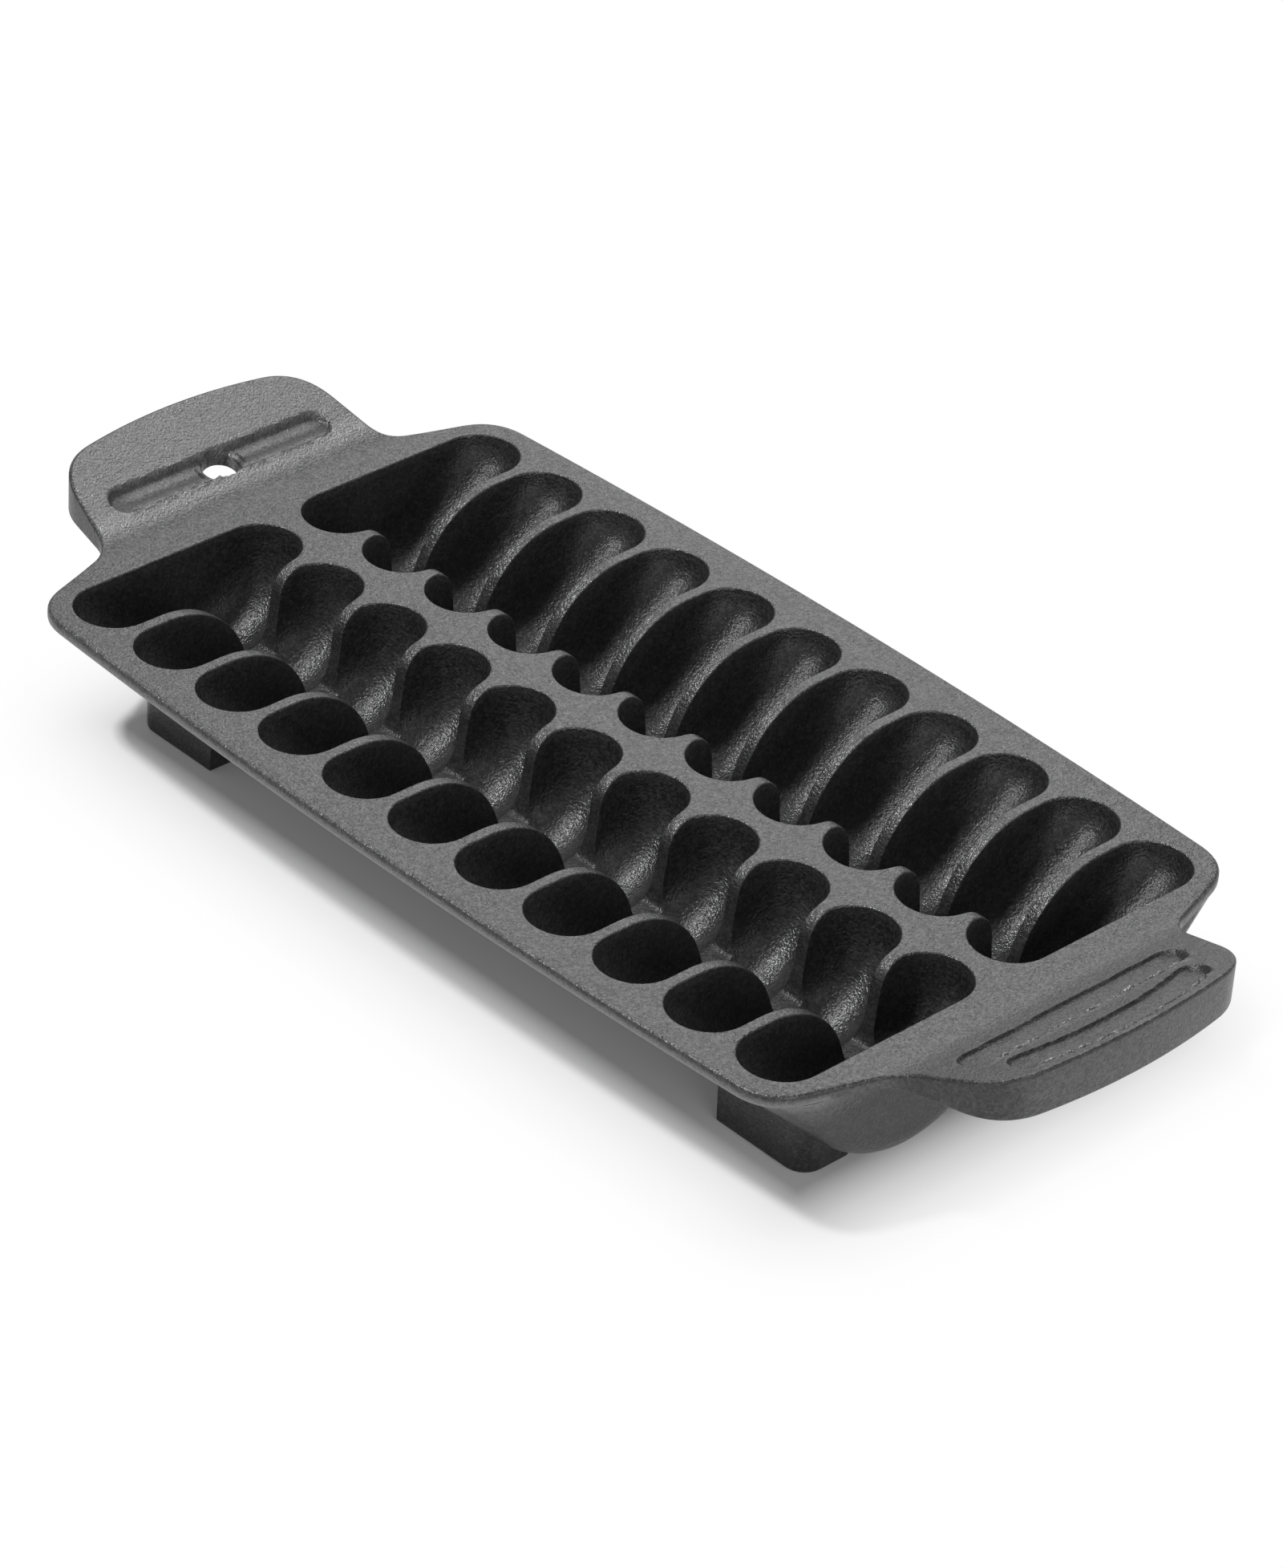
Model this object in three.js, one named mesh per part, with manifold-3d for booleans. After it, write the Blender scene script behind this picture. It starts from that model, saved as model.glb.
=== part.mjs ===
// A cast iron shrimp pan: two rows of shrimp-shaped wells under one flat deck, with a raised
// handle at each end and four short feet. The real pan is one casting, so the casting is made
// whole here and then cut along flat planes into its wells, rails and handles.
// Millimetres, +Z up. +X runs from the back handle to the front one, and +Y from the near
// long edge to the far one. The origin is on the table, under the middle of the pan.

import * as THREE from 'three';
import { mergeVertices } from 'three/addons/utils/BufferGeometryUtils.js';
import Module from 'manifold-3d';

const wasm = await Module();
wasm.setup();

// Wells: a round-bottomed channel that drops steeply beside the spine, bends, and climbs a
// straight ramp to its outer end. Lengths and widths are those of its mouth in the deck.
const WELLS_PER_ROW = 11;
const WELL_PITCH = 24;
const WELL_WIDTH = 20.6;
const WELL_LENGTH = 68.2;
const WELL_DEPTH = 29.1;
const WELL_BEND_RADIUS = 17.8;
const SPINE_WIDTH = 6.2;

// Dividers: each has a notch with a steep side by the spine and a long hump on its outer side.
const NOTCH_DEPTH = 22.8;
const NOTCH_SPINE_LAND = 8.2;
const NOTCH_SPINE_RADIUS = 7.2;
const NOTCH_WALL_LEAN = 1.9;
const NOTCH_FLOOR_WIDTH = 8.4;
const NOTCH_HUMP_RADIUS = 26.4;

// The shell around the wells, and the flat deck on top of it.
const WALL = 3.8;
const END_WALL = 5;
const SHELL_EDGE_RADIUS = 7;
const DECK_THICKNESS = 3.4;
const RAIL_WIDTH = 9.3;
const RAIL_BOW = 3.8;
const DECK_CORNER_RADIUS = 14.8;
const DECK_CORNER_INSET = 3.8;

// Handles: a rising plate with a skirt round its edge, hollow underneath. The corner sizes
// are those of the outline before its corners are rounded. The skirt rises a little to the tip.
const HANDLE_START = 4.9;
const HANDLE_REACH = 37.4;
const HANDLE_RISE_ANGLE = THREE.MathUtils.degToRad(19.6);
const HANDLE_NECK_WIDTH = 92.6;
const HANDLE_TIP_WIDTH = 81;
const HANDLE_BOW = 3.2;
const HANDLE_CORNER_RADIUS = 16.8;
const NECK_REACH = 6.1;
const NECK_RADIUS = 10.4;
const GRIP_THICKNESS = 5;
const SKIRT_TIP_DROP = 1.7;
const SKIRT_THICKNESS = 4.2;

// Finger grooves across the handles, and the hanging hole in the back one.
const GROOVE_WIDTH = 8.4;
const GROOVE_DEPTH = 1.8;
const INNER_GROOVE_LENGTH = 72;
const INNER_GROOVE_SETBACK = 17.2;
const OUTER_GROOVE_LENGTH = 63;
const OUTER_GROOVE_SETBACK = 31.7;
const OUTER_GROOVE_BOW = 3.6;
const HOLE_LENGTH = 10.6;
const HOLE_WIDTH = 9;

// Feet: short blocks under the shell, set in from its ends and from the deck's long edges.
const FOOT_LENGTH = 28.8;
const FOOT_WIDTH = 14.6;
const FOOT_LIFT = 6.6;
const FOOT_CORNER_RADIUS = 6;
const FOOT_END_SETBACK = 28.3;
const FOOT_EDGE_SETBACK = 28.7;

// Where the casting is cut into nodes, and how finely its curves are faceted.
const NODE_CUT_MARGIN = 1.2;
const SEAT_GAP = 0.3;
const JOIN_OVERLAP = 1;
const CUT_MARGIN = 8;
const SECTION_STEPS = 8;
const BEND_STEPS = 8;
const WELL_END_STEPS = 3;
const NOTCH_STEPS = 5;
const SHELL_STEPS = 12;
const CORNER_STEPS = 6;
const EDGE_STEPS = 3;
const GROOVE_STEPS = 10;
const GROOVE_LINKS = 4;

// Places worked out from the sizes above. Heights are measured from the deck's top face.
const WELL_RADIUS = WELL_WIDTH / 2;
const SPINE_END_Y = SPINE_WIDTH / 2 + WELL_RADIUS;
const OUTER_END_Y = SPINE_WIDTH / 2 + WELL_LENGTH - WELL_RADIUS;
const BEND_Y = SPINE_END_Y + WELL_BEND_RADIUS;
const BEND_Z = WELL_RADIUS + WELL_BEND_RADIUS - WELL_DEPTH;
const RAMP_RUN = OUTER_END_Y - BEND_Y;
const RAMP_LENGTH = Math.sqrt(RAMP_RUN ** 2 + BEND_Z ** 2 - WELL_BEND_RADIUS ** 2);
const RAMP_ANGLE = Math.atan2(-BEND_Z, RAMP_RUN) + Math.atan2(WELL_BEND_RADIUS, RAMP_LENGTH);
const LAST_WELL_X = WELL_PITCH * (WELLS_PER_ROW - 1) / 2;
const SHELL_END_X = LAST_WELL_X + WELL_RADIUS + END_WALL;
const WELL_TIP_Y = OUTER_END_Y + WELL_RADIUS;
const EDGE_Y = WELL_TIP_Y + RAIL_WIDTH;
const RAIL_CUT_Y = WELL_TIP_Y + NODE_CUT_MARGIN;
const HANDLE_CUT_X = SHELL_END_X + NODE_CUT_MARGIN;
const SHELL_DEPTH = WELL_DEPTH + WALL;
const STAND_DEPTH = SHELL_DEPTH + FOOT_LIFT;
const HANDLE_START_X = SHELL_END_X + HANDLE_START;
const HANDLE_TIP_X = SHELL_END_X + HANDLE_REACH;
const HANDLE_SLOPE = Math.tan(HANDLE_RISE_ANGLE);
const SKIRT_SLOPE = (DECK_THICKNESS - SKIRT_TIP_DROP) / (HANDLE_TIP_X - HANDLE_START_X);
const FAR_OUT = HANDLE_TIP_X + EDGE_Y;
const wellMiddles = Array.from({ length: WELLS_PER_ROW }, (_, i) => WELL_PITCH * i - LAST_WELL_X);

const castIron = new THREE.MeshStandardMaterial({ color: 0x4a4a4b, roughness: 0.72, metalness: 0.55 });

/** Turns a closed geometry into a solid that can be joined and cut, without collapsed triangles. */
function solidOf(geometry) {
  const bare = geometry.clone();
  bare.deleteAttribute('normal');
  bare.deleteAttribute('uv');
  const merged = mergeVertices(bare, 1e-4);
  const corners = merged.index.array;
  const open = [];
  for (let i = 0; i < corners.length; i += 3) {
    const [a, b, c] = corners.slice(i, i + 3);
    if (a !== b && b !== c && c !== a) open.push(a, b, c);
  }
  return new wasm.Manifold(new wasm.Mesh({
    numProp: 3,
    vertProperties: new Float32Array(merged.attributes.position.array),
    triVerts: new Uint32Array(open),
  }));
}

/** Turns a solid back into a named mesh of the pan, lifted so that the feet stand at z = 0. */
function meshOf(name, solid) {
  const { vertProperties, triVerts } = solid.getMesh();
  const geometry = new THREE.BufferGeometry();
  geometry.setAttribute('position', new THREE.BufferAttribute(vertProperties, 3));
  geometry.setIndex(new THREE.BufferAttribute(triVerts, 1));
  geometry.computeVertexNormals();
  const mesh = new THREE.Mesh(geometry, castIron.clone());
  mesh.name = name;
  mesh.position.z = STAND_DEPTH;
  return mesh;
}

/** A box between two corners, as a solid. */
function box(low, high) {
  const size = new THREE.Vector3().subVectors(high, low);
  const geometry = new THREE.BoxGeometry(size.x, size.y, size.z);
  geometry.translate(low.x + size.x / 2, low.y + size.y / 2, low.z + size.z / 2);
  return solidOf(geometry);
}

/** A plan outline of (x, y) points, raised from one height to another. */
function plate(points, low, high) {
  const options = { depth: high - low, bevelEnabled: false };
  const geometry = new THREE.ExtrudeGeometry(new THREE.Shape(points), options);
  geometry.translate(0, 0, low);
  return solidOf(geometry);
}

/** A side profile of (y, z) points, run along x from -half to half with rounded end edges. */
function barAlongX(points, half, edgeRadius) {
  const geometry = new THREE.ExtrudeGeometry(new THREE.Shape(points), {
    depth: 2 * (half - edgeRadius),
    bevelEnabled: edgeRadius > 0,
    bevelThickness: edgeRadius,
    bevelSize: edgeRadius,
    bevelOffset: -edgeRadius,
    bevelSegments: EDGE_STEPS,
  });
  geometry.translate(0, 0, edgeRadius - half);
  const alongX = new THREE.Matrix4().makeBasis(
    new THREE.Vector3(0, 1, 0), new THREE.Vector3(0, 0, 1), new THREE.Vector3(1, 0, 0));
  geometry.applyMatrix4(alongX);
  return solidOf(geometry);
}

/** A side profile of (x, z) points, run along y from low to high. */
function barAlongY(points, low, high) {
  const options = { depth: high - low, bevelEnabled: false };
  const geometry = new THREE.ExtrudeGeometry(new THREE.Shape(points), options);
  const alongY = new THREE.Matrix4().makeBasis(
    new THREE.Vector3(1, 0, 0), new THREE.Vector3(0, 0, 1), new THREE.Vector3(0, -1, 0));
  geometry.applyMatrix4(alongY);
  geometry.translate(0, high, 0);
  return solidOf(geometry);
}

/** Points along an arc of the given centre, from one angle to another. */
function arc(x, y, radius, from, to, steps) {
  return Array.from({ length: steps + 1 }, (_, i) => {
    const angle = from + (to - from) * i / steps;
    return new THREE.Vector2(x + radius * Math.cos(angle), y + radius * Math.sin(angle));
  });
}

/** A closed outline with each corner rounded. A corner with no radius takes all the edge it can. */
function roundedOutline(corners) {
  const count = corners.length;
  const around = (i) => corners[(i + count) % count];
  const towards = (i, j) => new THREE.Vector2().subVectors(around(j).at, around(i).at);
  const turns = corners.map((_, i) => Math.PI - Math.abs(towards(i, i - 1).angleTo(towards(i, i + 1))));
  const reaches = corners.map((corner, i) => {
    const room = Math.min(towards(i, i - 1).length(), towards(i, i + 1).length()) / 2;
    return corner.radius === undefined ? 0 : Math.min(corner.radius * Math.tan(turns[i] / 2), room);
  });
  const bowReach = (i) => Math.min(
    towards(i, i - 1).length() - reaches[(i - 1 + count) % count],
    towards(i, i + 1).length() - reaches[(i + 1) % count]);
  return corners.flatMap((corner, i) => {
    const reach = corner.radius === undefined ? bowReach(i) : reaches[i];
    const start = towards(i, i - 1).setLength(reach).add(corner.at);
    const end = towards(i, i + 1).setLength(reach).add(corner.at);
    const bend = new THREE.QuadraticBezierCurve(start, corner.at, end);
    return reach > 0 ? bend.getPoints(CORNER_STEPS) : [corner.at];
  });
}

/** A corner of an outline at (x, y). */
function corner(x, y, radius) {
  return { at: new THREE.Vector2(x, y), radius };
}

/** The pan's outline seen from above: the deck with its bowed long edges, and both handles. */
function panOutline() {
  const neckX = SHELL_END_X + NECK_REACH;
  const deckCornerX = SHELL_END_X - DECK_CORNER_INSET;
  const quarter = [
    corner(HANDLE_TIP_X - HANDLE_BOW, HANDLE_TIP_WIDTH / 2, HANDLE_CORNER_RADIUS),
    corner(neckX, HANDLE_NECK_WIDTH / 2, NECK_RADIUS),
    corner(deckCornerX, EDGE_Y - RAIL_BOW, DECK_CORNER_RADIUS),
  ];
  const flip = (sx, sy) => quarter.map(({ at, radius }) => corner(sx * at.x, sy * at.y, radius));
  return roundedOutline([
    corner(HANDLE_TIP_X + HANDLE_BOW, 0),
    ...quarter,
    corner(0, EDGE_Y + RAIL_BOW),
    ...flip(-1, 1).reverse(),
    corner(-HANDLE_TIP_X - HANDLE_BOW, 0),
    ...flip(-1, -1),
    corner(0, -EDGE_Y - RAIL_BOW),
    ...flip(1, -1).reverse(),
  ]);
}

/** The stations along a well, each with its centre and the tilt of its round section. */
function wellStations() {
  const spineTilt = -Math.PI / 2;
  const onBend = Array.from({ length: BEND_STEPS + 1 }, (_, i) => {
    const tilt = spineTilt + (RAMP_ANGLE - spineTilt) * i / BEND_STEPS;
    return {
      tilt,
      y: BEND_Y + WELL_BEND_RADIUS * Math.sin(tilt),
      z: BEND_Z - WELL_BEND_RADIUS * Math.cos(tilt),
    };
  });
  const atOuterEnd = Array.from({ length: WELL_END_STEPS + 1 }, (_, i) => {
    const tilt = RAMP_ANGLE + (Math.PI / 2 - RAMP_ANGLE) * i / WELL_END_STEPS;
    return { tilt, y: OUTER_END_Y, z: 0 };
  });
  return [...onBend, ...atOuterEnd];
}

/** The space inside one well of the far row at x = 0, carried up past the deck. */
function wellSpace() {
  const stations = wellStations();
  const last = stations.length - 1;
  const at = (station, step) => station * (SECTION_STEPS + 1) + step;
  const steps = Array.from({ length: SECTION_STEPS + 1 }, (_, k) => k);
  const points = stations.flatMap(({ tilt, y, z }) => steps.map((k) => {
    const angle = Math.PI * k / SECTION_STEPS;
    const down = WELL_RADIUS * Math.sin(angle);
    return [WELL_RADIUS * Math.cos(angle), y + down * Math.sin(tilt), z - down * Math.cos(tilt)];
  }));
  const faces = [];
  const quad = (a, b, c, d) => faces.push(a, b, c, a, c, d);
  for (let i = 0; i < last; i += 1) {
    for (let k = 0; k < SECTION_STEPS; k += 1) {
      quad(at(i, k), at(i, k + 1), at(i + 1, k + 1), at(i + 1, k));
    }
  }
  const border = [
    ...stations.map((_, i) => at(i, 0)),
    ...steps.slice(1, -1).map((k) => at(last, k)),
    ...stations.map((_, i) => at(last - i, SECTION_STEPS)),
    ...steps.slice(1, -1).map((k) => at(0, SECTION_STEPS - k)),
  ];
  const rim = points.length;
  border.forEach((index) => points.push([points[index][0], points[index][1], CUT_MARGIN]));
  border.forEach((index, i) => {
    const next = (i + 1) % border.length;
    quad(index, border[next], rim + next, rim + i);
  });
  for (let i = 1; i < border.length - 1; i += 1) {
    faces.push(rim, rim + i, rim + i + 1);
  }
  const geometry = new THREE.BufferGeometry();
  geometry.setAttribute('position', new THREE.Float32BufferAttribute(points.flat(), 3));
  geometry.setIndex(faces);
  return solidOf(geometry);
}

/** All the wells of the far row, with the notches in the dividers between them. */
function farRowSpace() {
  const well = wellSpace();
  const wells = wellMiddles.map((x) => well.translate([x, 0, 0]));
  const spineLandY = SPINE_WIDTH / 2 + NOTCH_SPINE_LAND;
  const wallTopY = spineLandY + NOTCH_SPINE_RADIUS;
  const humpStartY = wallTopY + NOTCH_WALL_LEAN + NOTCH_FLOOR_WIDTH;
  const humpTurn = Math.acos(1 - NOTCH_DEPTH / NOTCH_HUMP_RADIUS);
  const humpTopY = humpStartY + NOTCH_HUMP_RADIUS * Math.sin(humpTurn);
  const upright = Math.PI / 2;
  const notch = [
    ...arc(humpTopY, -NOTCH_HUMP_RADIUS, NOTCH_HUMP_RADIUS, upright + humpTurn, upright, NOTCH_STEPS),
    new THREE.Vector2(humpTopY, CUT_MARGIN),
    new THREE.Vector2(spineLandY, CUT_MARGIN),
    ...arc(spineLandY, -NOTCH_SPINE_RADIUS, NOTCH_SPINE_RADIUS, upright, 0, NOTCH_STEPS),
    new THREE.Vector2(wallTopY + NOTCH_WALL_LEAN, -NOTCH_DEPTH),
  ];
  return wasm.Manifold.union([...wells, barAlongX(notch, LAST_WELL_X, 0)]);
}

/** The shell around both rows of wells, far taller than the deck so that it can be trimmed. */
function shellBar(wall, edgeRadius) {
  const radius = WELL_BEND_RADIUS + WELL_RADIUS + wall;
  const down = -Math.PI / 2;
  const valley = down - Math.asin(BEND_Y / radius);
  const sideY = EDGE_Y + CUT_MARGIN;
  const shellRamp = (WELL_RADIUS + wall) / Math.cos(RAMP_ANGLE);
  const sideZ = (sideY - OUTER_END_Y) * Math.tan(RAMP_ANGLE) - shellRamp;
  const farSide = [
    ...arc(BEND_Y, BEND_Z, radius, valley, down + RAMP_ANGLE, SHELL_STEPS),
    new THREE.Vector2(sideY, sideZ),
    new THREE.Vector2(sideY, EDGE_Y),
  ];
  const nearSide = farSide.slice(1).map(({ x, y }) => new THREE.Vector2(-x, y)).reverse();
  return barAlongX([...farSide, ...nearSide], SHELL_END_X, edgeRadius);
}

/** Height of a handle's top face over the deck. */
function handleHeight(x) {
  return (x - HANDLE_START_X) * HANDLE_SLOPE;
}

/** The front handle's plate and skirt, without its grooves. */
function handleBlock(outline) {
  const tipX = HANDLE_TIP_X - SKIRT_THICKNESS;
  const neckY = HANDLE_NECK_WIDTH / 2 - SKIRT_THICKNESS;
  const tipY = HANDLE_TIP_WIDTH / 2 - SKIRT_THICKNESS;
  const innerRadius = HANDLE_CORNER_RADIUS - SKIRT_THICKNESS;
  const innerOutline = roundedOutline([
    corner(tipX + HANDLE_BOW, 0),
    corner(tipX - HANDLE_BOW, tipY, innerRadius),
    corner(HANDLE_START_X, neckY, 0),
    corner(HANDLE_START_X, -neckY, 0),
    corner(tipX - HANDLE_BOW, -tipY, innerRadius),
  ]);
  const below = -DECK_THICKNESS - CUT_MARGIN;
  const plateDrop = GRIP_THICKNESS / Math.cos(HANDLE_RISE_ANGLE);
  const solid = barAlongY([
    new THREE.Vector2(HANDLE_START_X, -DECK_THICKNESS),
    new THREE.Vector2(FAR_OUT, (FAR_OUT - HANDLE_START_X) * SKIRT_SLOPE - DECK_THICKNESS),
    new THREE.Vector2(FAR_OUT, handleHeight(FAR_OUT)),
    new THREE.Vector2(HANDLE_START_X, 0),
  ], -FAR_OUT, FAR_OUT);
  const hollow = barAlongY([
    new THREE.Vector2(HANDLE_START_X, below),
    new THREE.Vector2(FAR_OUT, below),
    new THREE.Vector2(FAR_OUT, handleHeight(FAR_OUT) - plateDrop),
    new THREE.Vector2(HANDLE_START_X, -plateDrop),
  ], -FAR_OUT, FAR_OUT);
  const inside = hollow.intersect(plate(innerOutline, below, FAR_OUT));
  return solid.intersect(plate(outline, below, FAR_OUT)).subtract(inside);
}

/** The space of a finger groove across the front handle, bowed towards the handle's tip. */
function grooveSpace(setback, length, bow) {
  const radius = (GROOVE_WIDTH ** 2 / 4 + GROOVE_DEPTH ** 2) / (2 * GROOVE_DEPTH);
  const clear = radius - GROOVE_DEPTH;
  const ball = solidOf(new THREE.SphereGeometry(radius, 2 * GROOVE_STEPS, GROOVE_STEPS));
  const balls = Array.from({ length: GROOVE_LINKS + 1 }, (_, i) => {
    const share = 2 * i / GROOVE_LINKS - 1;
    const x = SHELL_END_X + setback - bow * share ** 2;
    return ball.translate([
      x - clear * Math.sin(HANDLE_RISE_ANGLE),
      share * (length - GROOVE_WIDTH) / 2,
      handleHeight(x) + clear * Math.cos(HANDLE_RISE_ANGLE),
    ]);
  });
  if (bow === 0) return wasm.Manifold.hull([balls[0], balls[GROOVE_LINKS]]);
  return wasm.Manifold.union(balls.slice(1).map((next, i) => wasm.Manifold.hull([balls[i], next])));
}

/** The space of the hanging hole, placed on the front handle. */
function holeSpace() {
  const middle = SHELL_END_X + INNER_GROOVE_SETBACK;
  const oval = new THREE.EllipseCurve(middle, 0, HOLE_WIDTH / 2, HOLE_LENGTH / 2);
  return plate(oval.getPoints(2 * GROOVE_STEPS).slice(1), -FAR_OUT, FAR_OUT);
}

/** The foot under the front end of the far row: a block with a round corner at the pan's own corner. */
function footBlock() {
  const outerX = SHELL_END_X - FOOT_END_SETBACK + FOOT_LENGTH / 2;
  const innerX = outerX - FOOT_LENGTH;
  const outerY = EDGE_Y - FOOT_EDGE_SETBACK;
  const innerY = outerY - FOOT_WIDTH;
  const base = roundedOutline([
    corner(innerX, innerY, 0),
    corner(outerX, innerY, 0),
    corner(outerX, outerY, FOOT_CORNER_RADIUS),
    corner(innerX, outerY, 0),
  ]);
  return plate(base, -STAND_DEPTH, 0).subtract(shellBar(WALL + SEAT_GAP, 0));
}

/** The solid turned half way round, from the front or far side to the other one. */
function turned(solid) {
  return solid.rotate([0, 0, 180]);
}

/** The whole casting without its feet. */
function casting() {
  const outline = panOutline();
  const deckEnd = HANDLE_START_X + JOIN_OVERLAP;
  const deck = plate(outline, -DECK_THICKNESS, 0).intersect(box(
    new THREE.Vector3(-deckEnd, -FAR_OUT, -FAR_OUT), new THREE.Vector3(deckEnd, FAR_OUT, FAR_OUT)));
  const shell = shellBar(WALL, SHELL_EDGE_RADIUS).intersect(plate(outline, -STAND_DEPTH, 0));
  const handle = handleBlock(outline);
  const innerGroove = grooveSpace(INNER_GROOVE_SETBACK, INNER_GROOVE_LENGTH, 0);
  const outerGroove = grooveSpace(OUTER_GROOVE_SETBACK, OUTER_GROOVE_LENGTH, OUTER_GROOVE_BOW);
  const front = handle.subtract(innerGroove).subtract(outerGroove);
  const back = turned(handle.subtract(innerGroove).subtract(holeSpace()));
  const farRow = farRowSpace();
  return wasm.Manifold.union([deck, shell, front, back]).subtract(farRow).subtract(turned(farRow));
}

const pan = casting();
const foot = footBlock();
const mirroredFoot = foot.mirror([1, 0, 0]);
const group = new THREE.Group();
group.name = 'shrimp_pan';

/** Adds the part of the casting that lies between two corners as one named mesh. */
function addRegion(name, lowX, lowY, highX, highY) {
  const cell = box(new THREE.Vector3(lowX, lowY, -FAR_OUT), new THREE.Vector3(highX, highY, FAR_OUT));
  group.add(meshOf(name, pan.intersect(cell)));
}

wellMiddles.forEach((middle, i) => {
  const number = String(i + 1).padStart(2, '0');
  const lowX = i === 0 ? -HANDLE_CUT_X : middle - WELL_PITCH / 2;
  const highX = i === WELLS_PER_ROW - 1 ? HANDLE_CUT_X : middle + WELL_PITCH / 2;
  addRegion(`well_far_${number}`, lowX, 0, highX, RAIL_CUT_Y);
  addRegion(`well_near_${number}`, lowX, -RAIL_CUT_Y, highX, 0);
});
addRegion('rail_far', -HANDLE_CUT_X, RAIL_CUT_Y, HANDLE_CUT_X, FAR_OUT);
addRegion('rail_near', -HANDLE_CUT_X, -FAR_OUT, HANDLE_CUT_X, -RAIL_CUT_Y);
addRegion('handle_front', HANDLE_CUT_X, -FAR_OUT, FAR_OUT, FAR_OUT);
addRegion('handle_back', -FAR_OUT, -FAR_OUT, -HANDLE_CUT_X, FAR_OUT);
group.add(meshOf('foot_far_front', foot));
group.add(meshOf('foot_far_back', mirroredFoot));
group.add(meshOf('foot_near_front', turned(mirroredFoot)));
group.add(meshOf('foot_near_back', turned(foot)));

export default group;
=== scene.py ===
"""Looks of a cast iron shrimp pan: a smooth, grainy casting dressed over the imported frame.

Lengths are in metres. In plan, x runs from the back handle to the front one, and v runs outwards
from the spine on either row of wells. Heights inside a class are measured from the deck's top face.
"""

import logging
import math
from collections.abc import Callable, Iterable
from dataclasses import dataclass, field
from enum import Enum

import bmesh
import bpy
from bmesh.types import BMEdge, BMesh, BMVert
from mathutils import Matrix, Vector, noise


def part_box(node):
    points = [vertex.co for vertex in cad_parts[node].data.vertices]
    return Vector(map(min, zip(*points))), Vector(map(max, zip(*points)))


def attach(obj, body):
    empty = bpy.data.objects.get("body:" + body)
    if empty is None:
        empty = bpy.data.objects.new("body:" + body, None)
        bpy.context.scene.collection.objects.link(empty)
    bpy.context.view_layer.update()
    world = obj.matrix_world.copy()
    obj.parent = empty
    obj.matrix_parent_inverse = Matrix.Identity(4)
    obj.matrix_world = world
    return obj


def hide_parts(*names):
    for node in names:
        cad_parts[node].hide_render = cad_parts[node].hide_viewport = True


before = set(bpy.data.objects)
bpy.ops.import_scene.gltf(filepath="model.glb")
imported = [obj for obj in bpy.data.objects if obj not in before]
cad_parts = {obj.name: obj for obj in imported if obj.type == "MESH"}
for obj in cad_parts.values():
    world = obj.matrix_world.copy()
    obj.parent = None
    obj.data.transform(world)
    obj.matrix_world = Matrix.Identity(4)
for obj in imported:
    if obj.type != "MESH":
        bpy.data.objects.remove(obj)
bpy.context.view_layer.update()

MM = 0.001
TOUCH = 1e-6
WELD = 0.01 * MM
LOG = logging.getLogger("shrimp_pan")
# A mesh attribute of painted light and shade: above nothing for painted highlights, below nothing for
# painted shade.
PAINTED_LIGHT_AND_SHADE = "painted_light_and_shade"
Colour = tuple[float, float, float, float]
Grid = list[list[Vector]]


class Row(Enum):
    """The two rows of wells, by the sign of y on their side of the spine."""

    NEAR = -1
    FAR = 1


class End(Enum):
    """The two ends of the pan, by the sign of x there."""

    BACK = -1
    FRONT = 1


class CellKind(Enum):
    """Whether a well has a neighbour on both sides or stands beside the end wall."""

    INNER = "inner"
    LAST = "last"


# Shader tools


class Socket:
    """A shader value that Python's operators turn into Math nodes."""

    def __init__(self, graph: "Graph", output: bpy.types.NodeSocket | None) -> None:
        """Wraps an output of a node.

        Args:
            graph: The node graph that the output is in.
            output: The output itself, or nothing for a node at the end of its graph.
        """
        self.graph = graph
        self.output = output

    def _math(self, operation: str, first: "Socket | float", second: "Socket | float") -> "Socket":
        """Returns the result of a Math node on two values."""
        return self.graph.node("ShaderNodeMath", {"operation": operation}, {0: first, 1: second})

    def __add__(self, other: "Socket | float") -> "Socket":
        """Returns the sum."""
        return self._math("ADD", self, other)

    __radd__ = __add__

    def __sub__(self, other: "Socket | float") -> "Socket":
        """Returns the difference."""
        return self._math("SUBTRACT", self, other)

    def __rsub__(self, other: float) -> "Socket":
        """Returns the difference from a number."""
        return self._math("SUBTRACT", other, self)

    def __mul__(self, other: "Socket | float") -> "Socket":
        """Returns the product."""
        return self._math("MULTIPLY", self, other)


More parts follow.
